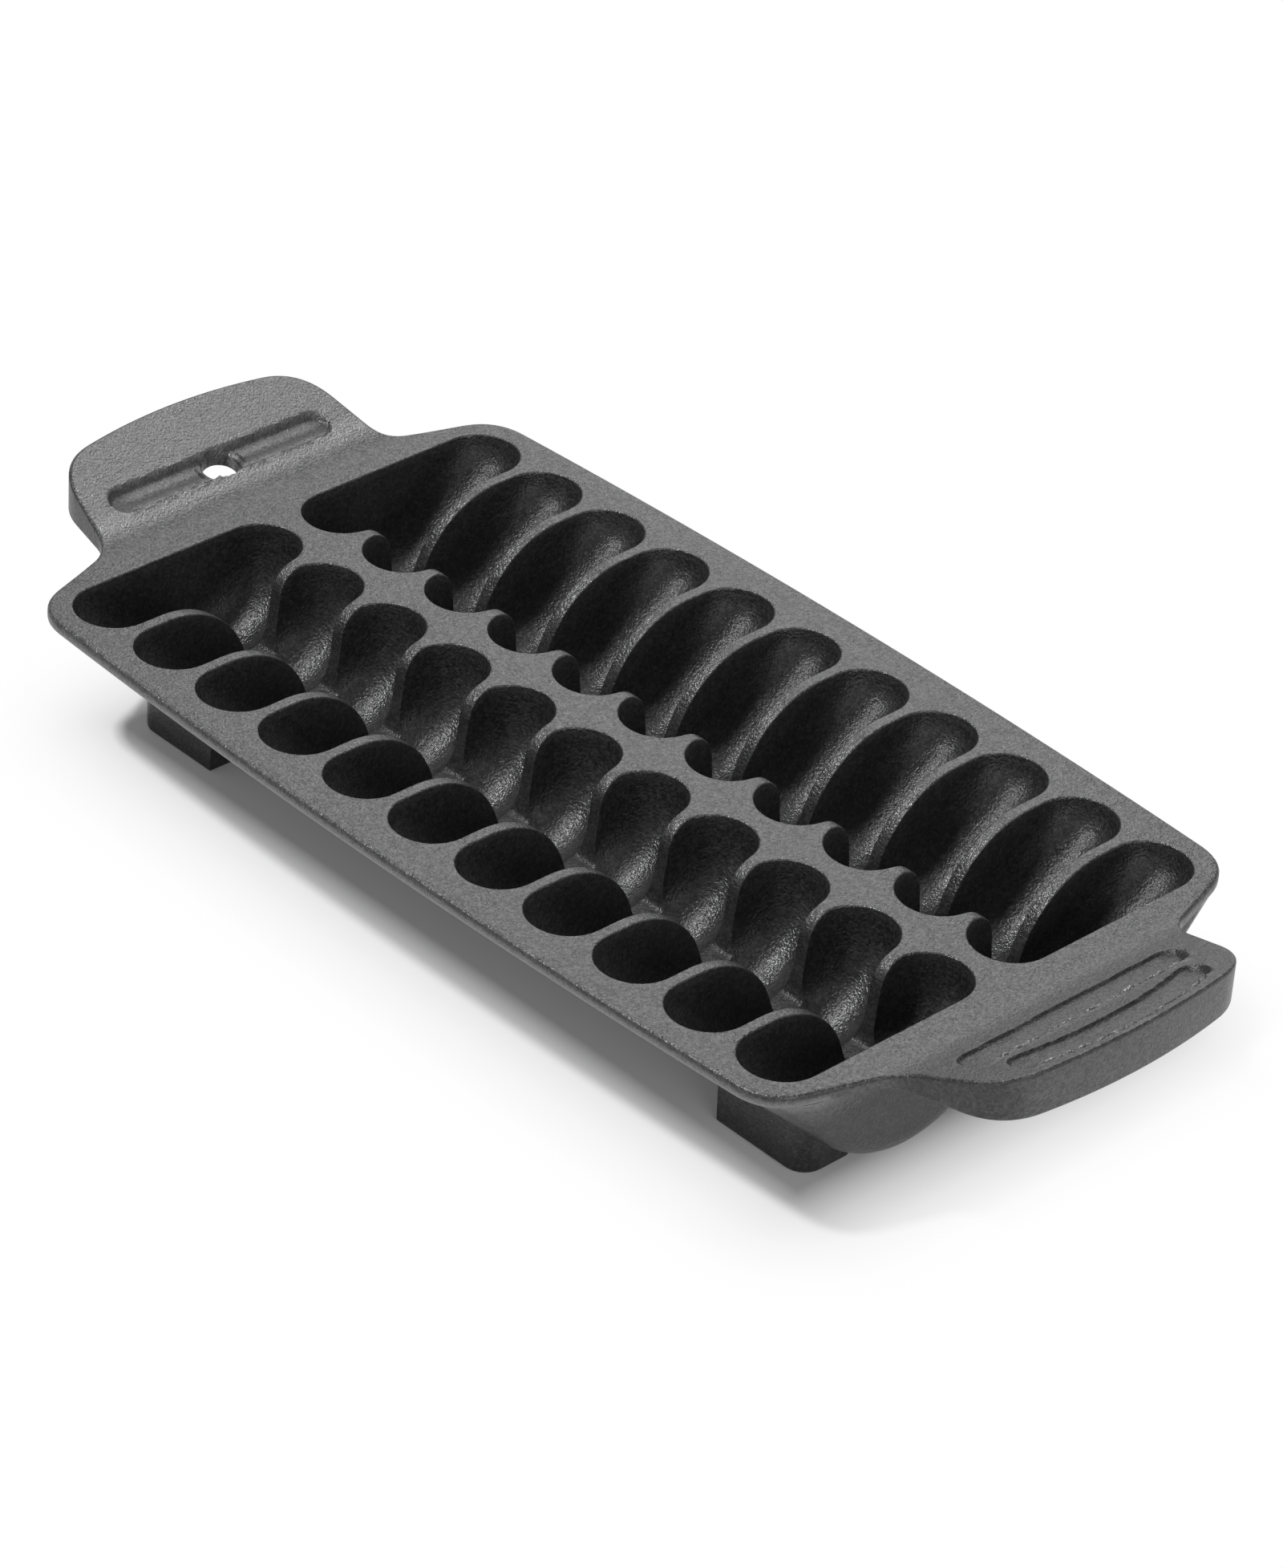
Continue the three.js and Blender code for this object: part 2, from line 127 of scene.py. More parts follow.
class Graph:
    """The node graph of a material or a world."""

    def __init__(self, owner: bpy.types.Material | bpy.types.World) -> None:
        """Starts an empty graph.

        Args:
            owner: The material or world that the graph belongs to.
        """
        owner.use_nodes = True
        self.tree = owner.node_tree
        self.tree.nodes.clear()

    def node(self, kind: str, settings: dict | None = None, inputs: dict | None = None,
             output: str | int = 0) -> Socket:
        """Adds a node.

        Args:
            kind: The node's type.
            settings: Its properties, set before its sockets. A ramp takes its stops as "stops".
            inputs: The values or links of its sockets, by name or number.
            output: The output to hand back, by name or number.

        Returns:
            That output.
        """
        made = self.tree.nodes.new(kind)
        for name, value in (settings or {}).items():
            if name == "stops":
                self._set_stops(made.color_ramp, value)
            else:
                setattr(made, name, value)
        for name, value in (inputs or {}).items():
            if isinstance(value, Socket):
                self.tree.links.new(value.output, made.inputs[name])
            else:
                made.inputs[name].default_value = value
        return Socket(self, made.outputs[output] if made.outputs else None)

    @staticmethod
    def _set_stops(ramp: bpy.types.ColorRamp, stops: tuple[tuple[float, float], ...]) -> None:
        """Sets a ramp's stops.

        Args:
            ramp: The ramp.
            stops: Pairs of a place and a grey level.
        """
        while len(ramp.elements) < len(stops):
            ramp.elements.new(1.0)
        for element, (place, grey) in zip(ramp.elements, stops):
            element.position = place
            element.color = (grey, grey, grey, 1.0)

    def noise(self, where: Socket, size: float, detail: float, roughness: float = 0.5) -> Socket:
        """Returns a noise texture with grains of a size in metres, about 0.5 on average."""
        return self.node("ShaderNodeTexNoise", {"noise_dimensions": "3D"},
                         {"Vector": where, "Scale": 1.0 / size, "Detail": detail, "Roughness": roughness})

    def mix(self, share: Socket, first: Socket | Colour, second: Socket | Colour) -> Socket:
        """Returns two colours mixed, with a share of the second one."""
        return self.node("ShaderNodeMix", {"data_type": "RGBA"},
                         {"Factor": share, "A": first, "B": second}, "Result")

    def vector(self, operation: str, *values: Socket | tuple, output: str = "Vector") -> Socket:
        """Returns the result of a Vector Math node."""
        return self.node("ShaderNodeVectorMath", {"operation": operation}, dict(enumerate(values)), output)

    def finish(self, kind: str, surface: Socket) -> None:
        """Ends the graph with an output node."""
        self.node(kind, None, {"Surface": surface})


@dataclass(frozen=True)
class CastIron:
    """Seasoned sand-cast iron: dark and grainy, with a dull sheen.

    It reads the painted light and shade of a mesh: 1 where a painted highlight lifts the iron to a pale
    grey, 0 on the deck and -1 where painted shade darkens it.
    """

    name: str = "seasoned_iron"
    dark: Colour = (0.052, 0.052, 0.053, 1.0)
    pale: Colour = (0.140, 0.140, 0.142, 1.0)
    # The next two colours are painted shade and painted highlight.
    painted_shade: Colour = (0.012, 0.012, 0.0125, 1.0)
    painted_highlight: Colour = (0.300, 0.300, 0.302, 1.0)
    metal: float = 0.75
    ior: float = 1.5
    speck_share: float = 0.85
    painted_shade_cover: float = 1.2
    painted_shade_specks: float = 0.5
    roughness: float = 0.26
    patch_roughness: float = 0.12
    painted_shade_roughness: float = 0.05
    grain_size: float = 0.65 * MM
    grain_height: float = 0.3 * MM
    lump_size: float = 2.6 * MM
    lump_height: float = 0.2 * MM
    painted_highlight_relief: float = 0.9
    painted_shade_relief: float = 0.3
    patch_size: float = 18.0 * MM

    def material(self) -> bpy.types.Material:
        """Builds the material.

        Returns:
            The material, with its grain on Object coordinates.
        """
        made = bpy.data.materials.new(self.name)
        graph = Graph(made)
        where = graph.node("ShaderNodeTexCoord", output="Object")
        painted_light_and_shade = graph.node("ShaderNodeAttribute", {"attribute_name": PAINTED_LIGHT_AND_SHADE}, None, "Fac")
        pale = graph.node("ShaderNodeClamp", None, {"Value": painted_light_and_shade})
        painted_shade_share = graph.node("ShaderNodeClamp", None, {"Value": painted_light_and_shade * -1.0})
        cells = {"Vector": where, "Scale": 1.0 / self.grain_size}
        specks = graph.node("ShaderNodeTexVoronoi", None, cells, "Color")
        grain = graph.noise(where, self.grain_size, detail=2.0, roughness=0.6)
        lumps = graph.noise(where, self.lump_size, detail=2.0)
        patches = graph.noise(where, self.patch_size, detail=3.0)
        tone = specks * self.speck_share + patches * (1.0 - self.speck_share)
        colour = graph.mix(tone, self.dark, self.pale)
        # Painted shade darkens the colour, speckled with the grain, and painted highlights lift it.
        colour = graph.mix(painted_shade_share * (self.painted_shade_cover - tone * self.painted_shade_specks), colour, self.painted_shade)
        colour = graph.mix(pale, colour, self.painted_highlight)
        relief = 1.0 + pale * self.painted_highlight_relief - painted_shade_share * self.painted_shade_relief
        height = (lumps * self.lump_height + grain * self.grain_height) * relief
        bump = graph.node("ShaderNodeBump", None, {"Strength": 1.0, "Distance": 1.0, "Height": height})
        rough = self.roughness + patches * self.patch_roughness + painted_shade_share * self.painted_shade_roughness
        graph.finish("ShaderNodeOutputMaterial", graph.node("ShaderNodeBsdfPrincipled", None, {
            "Base Color": colour,
            "Roughness": rough,
            "Normal": bump,
            # Painted shade takes the metal's sheen away as well.
            "Metallic": (1.0 - painted_shade_share) * self.metal,
            "IOR": self.ior,
        }))
        return made


@dataclass(frozen=True)
class StudioWhite:
    """The white of the floor, which keeps the pan's shadow close round the pan."""

    name: str = "studio_white"
    albedo: float = 0.84
    shaded: tuple[float, float, float] = (123.0 * MM, 55.0 * MM, 1.0)
    fade: float = 44.0 * MM
    glow: tuple[tuple[float, float], ...] = (
        (0.0, 0.05), (0.14, 0.30), (0.28, 0.52), (0.5, 0.76), (0.8, 0.96), (1.0, 1.0))

    def material(self) -> bpy.types.Material:
        """Builds the material.

        Returns:
            A matte white, lifted to a plain white background where the eye or a sheen meets it.
        """
        made = bpy.data.materials.new(self.name)
        graph = Graph(made)
        grey = (self.albedo, self.albedo, self.albedo, 1.0)
        matte = graph.node("ShaderNodeBsdfDiffuse", None, {"Color": grey})
        white = graph.node("ShaderNodeEmission", None, {"Color": (1.0, 1.0, 1.0, 1.0), "Strength": 1.0})
        place = graph.vector("ABSOLUTE", graph.node("ShaderNodeTexCoord", output="Object"))
        place = graph.vector("SUBTRACT", place, self.shaded)
        place = graph.vector("MAXIMUM", place, (0.0, 0.0, 0.0))
        away = graph.vector("LENGTH", place, output="Value") * (1.0 / self.fade)
        glow = graph.node("ShaderNodeValToRGB", {"stops": self.glow}, {"Fac": away})
        seen = graph.node("ShaderNodeLightPath", output="Is Camera Ray")
        for ray in ("Is Glossy Ray", "Is Transmission Ray"):
            seen = seen + graph.node("ShaderNodeLightPath", output=ray)
        shader = graph.node("ShaderNodeMixShader", None, {0: seen * glow, 1: matte, 2: white})
        graph.finish("ShaderNodeOutputMaterial", shader)
        return made


# Mesh tools


def lay_grid(bm: BMesh, spots: Grid) -> dict:
    """Adds a grid of faces.

    Args:
        bm: The mesh.
        spots: The places of the grid's points, by column and row.

    Returns:
        The column and row of each of the grid's points.
    """
    columns, rows = len(spots) - 1, len(spots[0]) - 1
    made = bmesh.ops.create_grid(bm, x_segments=columns, y_segments=rows, size=0.5)["verts"]
    homes = {vert: (round((vert.co.x + 0.5) * columns), round((vert.co.y + 0.5) * rows)) for vert in made}
    for vert, (column, row) in homes.items():
        vert.co = spots[column][row]
    return homes


def open_edges(bm: BMesh) -> list[BMEdge]:
    """Returns the edges that have a face on one side only."""
    return [edge for edge in bm.edges if len(edge.link_faces) == 1]


def grow_ring(bm: BMesh, edges: list[BMEdge], homes: dict,
              place: Callable[[Vector | tuple], Vector]) -> tuple[list[BMEdge], dict]:
    """Extrudes a rim of edges by one ring and moves the new points into place.

    Args:
        bm: The mesh.
        edges: The rim.
        homes: The starting place of each point of the rim, by point.
        place: Gives the place of a new point from its starting place.

    Returns:
        The new rim, and the starting place of each of its points.
    """
    made = bmesh.ops.extrude_edge_only(bm, edges=edges)["geom"]
    fresh = {item for item in made if isinstance(item, BMVert)}
    grown = {}
    for vert in fresh:
        beside = (edge.other_vert(vert) for edge in vert.link_edges)
        grown[vert] = homes[next(other for other in beside if other not in fresh)]
    for vert, home in grown.items():
        vert.co = place(home)
    rim = [item for item in made if isinstance(item, BMEdge) and set(item.verts) <= fresh]
    return rim, grown


def weld(bm: BMesh) -> None:
    """Joins the points of a mesh that lie together."""
    bmesh.ops.remove_doubles(bm, verts=bm.verts, dist=WELD)


def shares(count: int) -> list[float]:
    """Returns the shares from 0 to 1 in a number of even steps."""
    return [i / count for i in range(count + 1)]


def quarter(count: int) -> list[float]:
    """Returns the angles of a quarter turn in a number of even steps."""
    return [math.pi / 2 * share for share in shares(count)]


def spread(start: Vector, end: Vector, count: int) -> list[Vector]:
    """Returns evenly spread points of a line, without its start."""
    return [start.lerp(end, share) for share in shares(count)[1:]]


def curve(start: Vector, corner: Vector, end: Vector, share: float) -> Vector:
    """Returns a point of a curve that leans towards a corner on its way."""
    left = 1.0 - share
    return start * left ** 2 + corner * (2.0 * share * left) + end * share ** 2


def raised(place: Vector, height: Callable[[Vector], float], drop: float = 0.0) -> Vector:
    """Returns a place in plan lifted to a surface, less a drop."""
    return Vector((*place, height(place) - drop))


def points_along(line: list[Vector], places: list[float]) -> tuple[list[Vector], float]:
    """Finds points at shares of a line's length.

    Args:
        line: The line's own points.
        places: The shares in rising order, from 0 to 1.

    Returns:
        The points, and the line's length.
    """
    lengths = [0.0]
    for low, high in zip(line, line[1:]):
        lengths.append(lengths[-1] + (high - low).length)
    points = []
    at = 0
    for share in places:
        wanted = share * lengths[-1]
        while at < len(line) - 2 and lengths[at + 1] < wanted:
            at += 1
        step = max(lengths[at + 1] - lengths[at], 1e-12)
        points.append(line[at].lerp(line[at + 1], min((wanted - lengths[at]) / step, 1.0)))
    return points, lengths[-1]


def smooth_max(first: float, second: float, blend: float) -> float:
    """Returns the larger of two heights, with their meeting rounded over a length."""
    near = max(blend - abs(first - second), 0.0) / blend
    return max(first, second) + near * near * blend / 4.0


@dataclass(frozen=True)
class Fade:
    """A share that eases from 0 at one length to 1 at another."""

    start: float
    end: float

    def at(self, length: float) -> float:
        """Returns the share at a length."""
        held = min(max((length - self.start) / (self.end - self.start), 0.0), 1.0)
        return held * held * (3.0 - 2.0 * held)


# Shapes shared by the pieces


@dataclass(frozen=True)
class WellShape:
    """The space of one well, the top of the dividers beside it and the shell under it."""

    radius: float = 10.3 * MM
    spine_end: float = 13.4 * MM
    outer_end: float = 61.0 * MM
    bend_radius: float = 17.8 * MM
    bend_height: float = -1.0 * MM
    wall: float = 3.8 * MM
    lip: float = 0.6 * MM
    land: float = 11.3 * MM
    land_radius: float = 7.2 * MM
    wall_lean: float = 1.9 * MM
    notch_depth: float = 22.8 * MM
    notch_floor: float = 8.4 * MM
    hump_radius: float = 26.4 * MM
    notch_blend: float = 3.0 * MM

    @property
    def bend_middle(self) -> float:
        """Where the middle of the bend is, outwards from the spine."""
        return self.spine_end + self.bend_radius

    @property
    def shell_radius(self) -> float:
        """How far the outside of the shell is from the middle of the bend."""
        return self.bend_radius + self.radius + self.wall

    @property
    def ramp_angle(self) -> float:
        """How steeply the ramp climbs to the well's outer end."""
        run = self.outer_end - self.bend_middle
        length = math.sqrt(run ** 2 + self.bend_height ** 2 - self.bend_radius ** 2)
        return math.atan2(-self.bend_height, run) + math.atan2(self.bend_radius, length)

    def _tube(self, v: float, reach: float) -> float:
        """Height of the bottom of a tube that follows the bend and the ramp.

        Args:
            v: How far the place is from the spine.
            reach: How far the bottom is from the tube's middle line.

        Returns:
            The height, below zero.
        """
        outside = self.bend_radius + reach
        if v < self.bend_middle + outside * math.sin(self.ramp_angle):
            return self.bend_height - math.sqrt(max(outside ** 2 - (v - self.bend_middle) ** 2, 0.0))
        return (v - self.outer_end) * math.tan(self.ramp_angle) - reach / math.cos(self.ramp_angle)

    def floor(self, u: float, v: float) -> float:
        """Height of the well's bottom.

        Args:
            u: How far the place is from the well's middle line.
            v: How far it is from the spine.

        Returns:
            The height, below zero.
        """
        reach = math.sqrt(max(self.radius ** 2 - u ** 2, 0.0))
        if v < self.outer_end + reach * math.sin(self.ramp_angle):
            return self._tube(v, reach)
        return -math.sqrt(max(reach ** 2 - (v - self.outer_end) ** 2, 0.0))

    def underside(self, v: float) -> float:
        """Returns the height of the shell's underside at a distance from the spine."""
        return self._tube(v, self.radius + self.wall)

    def divider_top(self, v: float) -> float:
        """Height of a divider's top edge.

        Args:
            v: How far the place is from the spine.

        Returns:
            The height: zero at both ends of the divider, lower in its notch.
        """
        wall = self.land + self.land_radius
        hump_start = wall + self.wall_lean + self.notch_floor
        turn = math.acos(1.0 - self.notch_depth / self.hump_radius)
        hump_top = hump_start + self.hump_radius * math.sin(turn)
        if v <= self.land or v >= hump_top:
            return 0.0
        if v < wall:
            inner = math.sqrt(self.land_radius ** 2 - (v - self.land) ** 2) - self.land_radius
        else:
            steep = (self.notch_depth - self.land_radius) / self.wall_lean
            inner = -self.land_radius - (v - wall) * steep
        if v > hump_start:
            outer = math.sqrt(self.hump_radius ** 2 - (hump_top - v) ** 2) - self.hump_radius
        else:
            outer = -self.notch_depth
        return smooth_max(inner, outer, self.notch_blend)


@dataclass(frozen=True)
class Corner:
    """A corner of the pan's outline before it is rounded."""

    x: float
    y: float
    radius: float = 0.0

    @property
    def spot(self) -> Vector:
        """The corner's place in plan."""
        return Vector((self.x, self.y))


@dataclass
class PanOutline:
    """The pan's outline in plan: the deck with bowed long edges, and the handles."""

    shell_end: float = 135.3 * MM
    edge: float = 80.6 * MM
    edge_bow: float = 3.8 * MM
    deck_corner_inset: float = 3.8 * MM
    deck_corner_radius: float = 14.8 * MM
    neck_reach: float = 6.1 * MM
    neck_width: float = 92.6 * MM
    neck_radius: float = 10.4 * MM
    handle_reach: float = 37.4 * MM
    handle_width: float = 81.0 * MM
    handle_bow: float = 3.2 * MM
    handle_radius: float = 16.8 * MM
    steps: int = 24
    points: list[Vector] = field(init=False)
    normals: list[Vector] = field(init=False)

    @property
    def tip(self) -> float:
        """Where the handles end along the pan."""
        return self.shell_end + self.handle_reach

    def __post_init__(self) -> None:
        """Works out the quarter of the outline from the front handle's tip to the far edge's middle."""
        deck_end = self.shell_end - self.deck_corner_inset
        corners = [
            Corner(self.tip + self.handle_bow, 0.0),
            Corner(self.tip - self.handle_bow, self.handle_width / 2, self.handle_radius),
            Corner(self.shell_end + self.neck_reach, self.neck_width / 2, self.neck_radius),
            Corner(deck_end, self.edge - self.edge_bow, self.deck_corner_radius),
            Corner(0.0, self.edge + self.edge_bow),
        ]
        before = Corner(corners[1].x, -corners[1].y)
        after = Corner(-corners[-2].x, corners[-2].y)
        chain = [before, *corners, after]
        reaches = [self._reach(*chain[i:i + 3]) for i in range(len(corners))]
        # The bows at both ends take all the edge that the roundings beside them leave.
        reaches[0] = (corners[0].spot - corners[1].spot).length - reaches[1]
        reaches[-1] = (corners[-1].spot - corners[-2].spot).length - reaches[-2]
        bends = [self._bend(*chain[i:i + 3], reach) for i, reach in enumerate(reaches)]
        half = self.steps // 2
        bends[0] = bends[0][half:]
        bends[-1] = bends[-1][:half + 1]
        self.points = [point for bend in bends for point in bend]
        self.normals = [self._normal(i) for i in range(len(self.points))]

    @staticmethod
    def _reach(before: Corner, corner: Corner, after: Corner) -> float:
        """How far along its edges a corner's rounding starts.

        Args:
            before: The corner before it.
            corner: The corner.
            after: The corner after it.

        Returns:
            The length along either edge.
        """
        turn = math.pi - (before.spot - corner.spot).angle(after.spot - corner.spot)
        return corner.radius * math.tan(turn / 2)

    def _bend(self, before: Corner, corner: Corner, after: Corner, reach: float) -> list[Vector]:
        """The points of a rounded corner.

        Args:
            before: The corner before it.
            corner: The corner.
            after: The corner after it.
            reach: How far along its edges the rounding starts.

        Returns:
            Points along the rounding, in order.
        """
        at = corner.spot
        start = at + (before.spot - at).normalized() * reach
        end = at + (after.spot - at).normalized() * reach
        return [curve(start, at, end, share) for share in shares(self.steps)]

    def _normal(self, index: int) -> Vector:
        """The outward direction at one of the outline's points.

        Args:
            index: The point's number.

        Returns:
            The direction in plan.
        """
        if index == 0:
            return Vector((1.0, 0.0))
        if index == len(self.points) - 1:
            return Vector((0.0, 1.0))
        along = (self.points[index + 1] - self.points[index - 1]).normalized()
        return Vector((along.y, -along.x))

    def hit(self, start: Vector, direction: Vector) -> tuple[Vector, Vector]:
        """Where a line over the far front quarter of the pan meets the outline.

        Args:
            start: The line's start.
            direction: Its direction.

        Returns:
            The meeting point and the outward direction there.
        """
        across = Vector((-direction.y, direction.x))
        for i in range(len(self.points) - 1, 0, -1):
            low, high = self.points[i - 1] - start, self.points[i] - start
            side_low, side_high = low.dot(across), high.dot(across)
            if side_low * side_high <= 0.0 and side_low != side_high:
                share = side_low / (side_low - side_high)
                point = low.lerp(high, share)
                if point.dot(direction) >= 0.0:
                    normal = self.normals[i - 1].lerp(self.normals[i], share).normalized()
                    return point + start, normal
        raise ValueError("the line misses the outline")

    def side(self, x: float) -> tuple[Vector, Vector]:
        """Returns the place of the far edge at a place along the pan, and the outward direction there."""
        return self.hit(Vector((x, 0.0)), Vector((0.0, 1.0)))

    def handle_edges(self, seam: float, inset: float) -> tuple[list[Vector], list[Vector]]:
        """The far half of the front handle's edge, moved inwards.

        Args:
            seam: Where along the pan the handle begins.
            inset: How far inwards.

        Returns:
            The handle's side from the seam to the middle of its corner, and its end from there to the tip.
        """
        moved = [point - normal * inset for point, normal in zip(self.points, self.normals)]
        turn = next(i for i, normal in enumerate(self.normals) if normal.x < normal.y)
        side = []
        for i in range(turn, len(moved)):
            if moved[i].x < seam:
                share = (seam - moved[i - 1].x) / (moved[i].x - moved[i - 1].x)
                side.append(moved[i - 1].lerp(moved[i], share))
                break
            side.append(moved[i])
        return side[::-1], moved[turn::-1]


@dataclass(frozen=True)
class RimProfile:
    """The rounded edge of the deck, with a painted shade line under its top and a painted sheen on the band
    below that.
    """

    thickness: float = 3.4 * MM
    top_radius: float = 0.9 * MM
    foot_radius: float = 0.8 * MM
    line: float = 0.4 * MM
    steps: int = 4
    # The line under the top is painted shade, and the band below it is painted sheen.
    line_painted_shade: float = 0.7
    line_start: Fade = Fade(0.2 * MM, 0.5 * MM)
    line_end: Fade = Fade(0.0, -0.33 * MM)
    band_painted_sheen: float = 0.5
    band_start: Fade = Fade(0.0, 0.3 * MM)

    def rings(self) -> list[tuple[float, float]]:
        """The rings of the edge from its top to its underside.

        Returns:
            Pairs of the inset from the outline and the drop from the deck.
        """
        turns = quarter(self.steps)
        top = [(self.top_radius * (1 - math.sin(a)), self.top_radius * (1 - math.cos(a))) for a in turns]
        low = self.thickness - self.foot_radius
        foot = [(self.foot_radius * (1 - math.cos(a)), low + self.foot_radius * math.sin(a)) for a in turns]
        return [*top, (0.0, self.top_radius + self.line), *foot]

    def painted_light_and_shade(self, drop: float) -> float:
        """How much painted light and shade the edge has.

        Args:
            drop: How far the place is below the deck.

        Returns:
            Less than nothing on the sooty line, more than nothing on the band.
        """
        past = drop - self.top_radius - self.line
        line = self.line_start.at(drop) * self.line_end.at(past)
        return self.band_painted_sheen * self.band_start.at(past) - self.line_painted_shade * line


@dataclass(frozen=True)
class Casting:
    """What the pieces of the casting share."""

    finish: bpy.types.Material
    lift: float
    seam: float
    well: WellShape = WellShape()
    rim: RimProfile = RimProfile()
    outline: PanOutline = field(default_factory=PanOutline)
    sharp: float = math.radians(50.0)

    def add(self, name: str, bm: BMesh, nodes: Iterable[str]) -> None:
        """Turns a mesh into a piece that rides on the pan's body.

        Args:
            name: The piece's name.
            bm: The mesh, with its heights measured from the deck.
            nodes: The solids that it stands for.
        """
        LOG.info("%s: %d faces, %d open edges", name, len(bm.faces), len(open_edges(bm)))
        bmesh.ops.translate(bm, verts=bm.verts, vec=Vector((0.0, 0.0, self.lift)))
        bmesh.ops.recalc_face_normals(bm, faces=bm.faces)
        mesh = bpy.data.meshes.new(name)
        bm.to_mesh(mesh)
        bm.free()
        mesh.shade_smooth()
        mesh.set_sharp_from_angle(angle=self.sharp)
        mesh.materials.append(self.finish)
        piece = bpy.data.objects.new(name, mesh)
        bpy.context.collection.objects.link(piece)
        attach(piece, "root")
        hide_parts(*nodes)


# Sub-assemblies


@dataclass(frozen=True)
class WellPaintedLight:
    """Painted shade in the wells, less of it on a painted lit strip along each floor and on the shallow
    crests.
    """

    painted_shade: float = 0.9
    painted_shade_depth: Fade = Fade(0.3 * MM, 2.8 * MM)
    crest_painted_shade: float = 0.8
    crest_edge: Fade = Fade(0.8 * MM, 0.0)
    crest_start: Fade = Fade(0.2 * MM, 2.2 * MM)
    crest_shallow: Fade = Fade(20.0 * MM, 11.0 * MM)
    painted_lit_strip: float = 0.95
    painted_lit_strip_depth: Fade = Fade(7.0 * MM, 17.0 * MM)
    painted_lit_strip_back: Fade = Fade(-3.2 * MM, -1.4 * MM)
    painted_lit_strip_front: Fade = Fade(7.0 * MM, 1.0 * MM)

    def at(self, depth: float, top: float, aside: float) -> float:
        """The painted light and shade of a place on the deck or in a well.

        Args:
            depth: How far the place is below the deck.
            top: How far the top of the divider beside it is below the deck.
            aside: How far the place is in front of the nearest well's middle line.

        Returns:
            Nothing on the deck, a little more than that on the painted lit strip and less in the painted
            shade.
        """
        crest = self.crest_edge.at(depth - top) * self.crest_start.at(top)
        painted_lit_strip = self.painted_lit_strip_back.at(aside) * self.painted_lit_strip_front.at(aside) * self.painted_lit_strip_depth.at(depth)
        # Painted shade grows with depth into each well and is lifted on the painted lit strip and the
        # shallow crests; deep crests get painted shade of their own.
        painted_shade = (self.painted_shade - self.painted_lit_strip * painted_lit_strip) * self.painted_shade_depth.at(depth) * (1.0 - crest)
        return -painted_shade - self.crest_painted_shade * crest * (1.0 - self.crest_shallow.at(top))


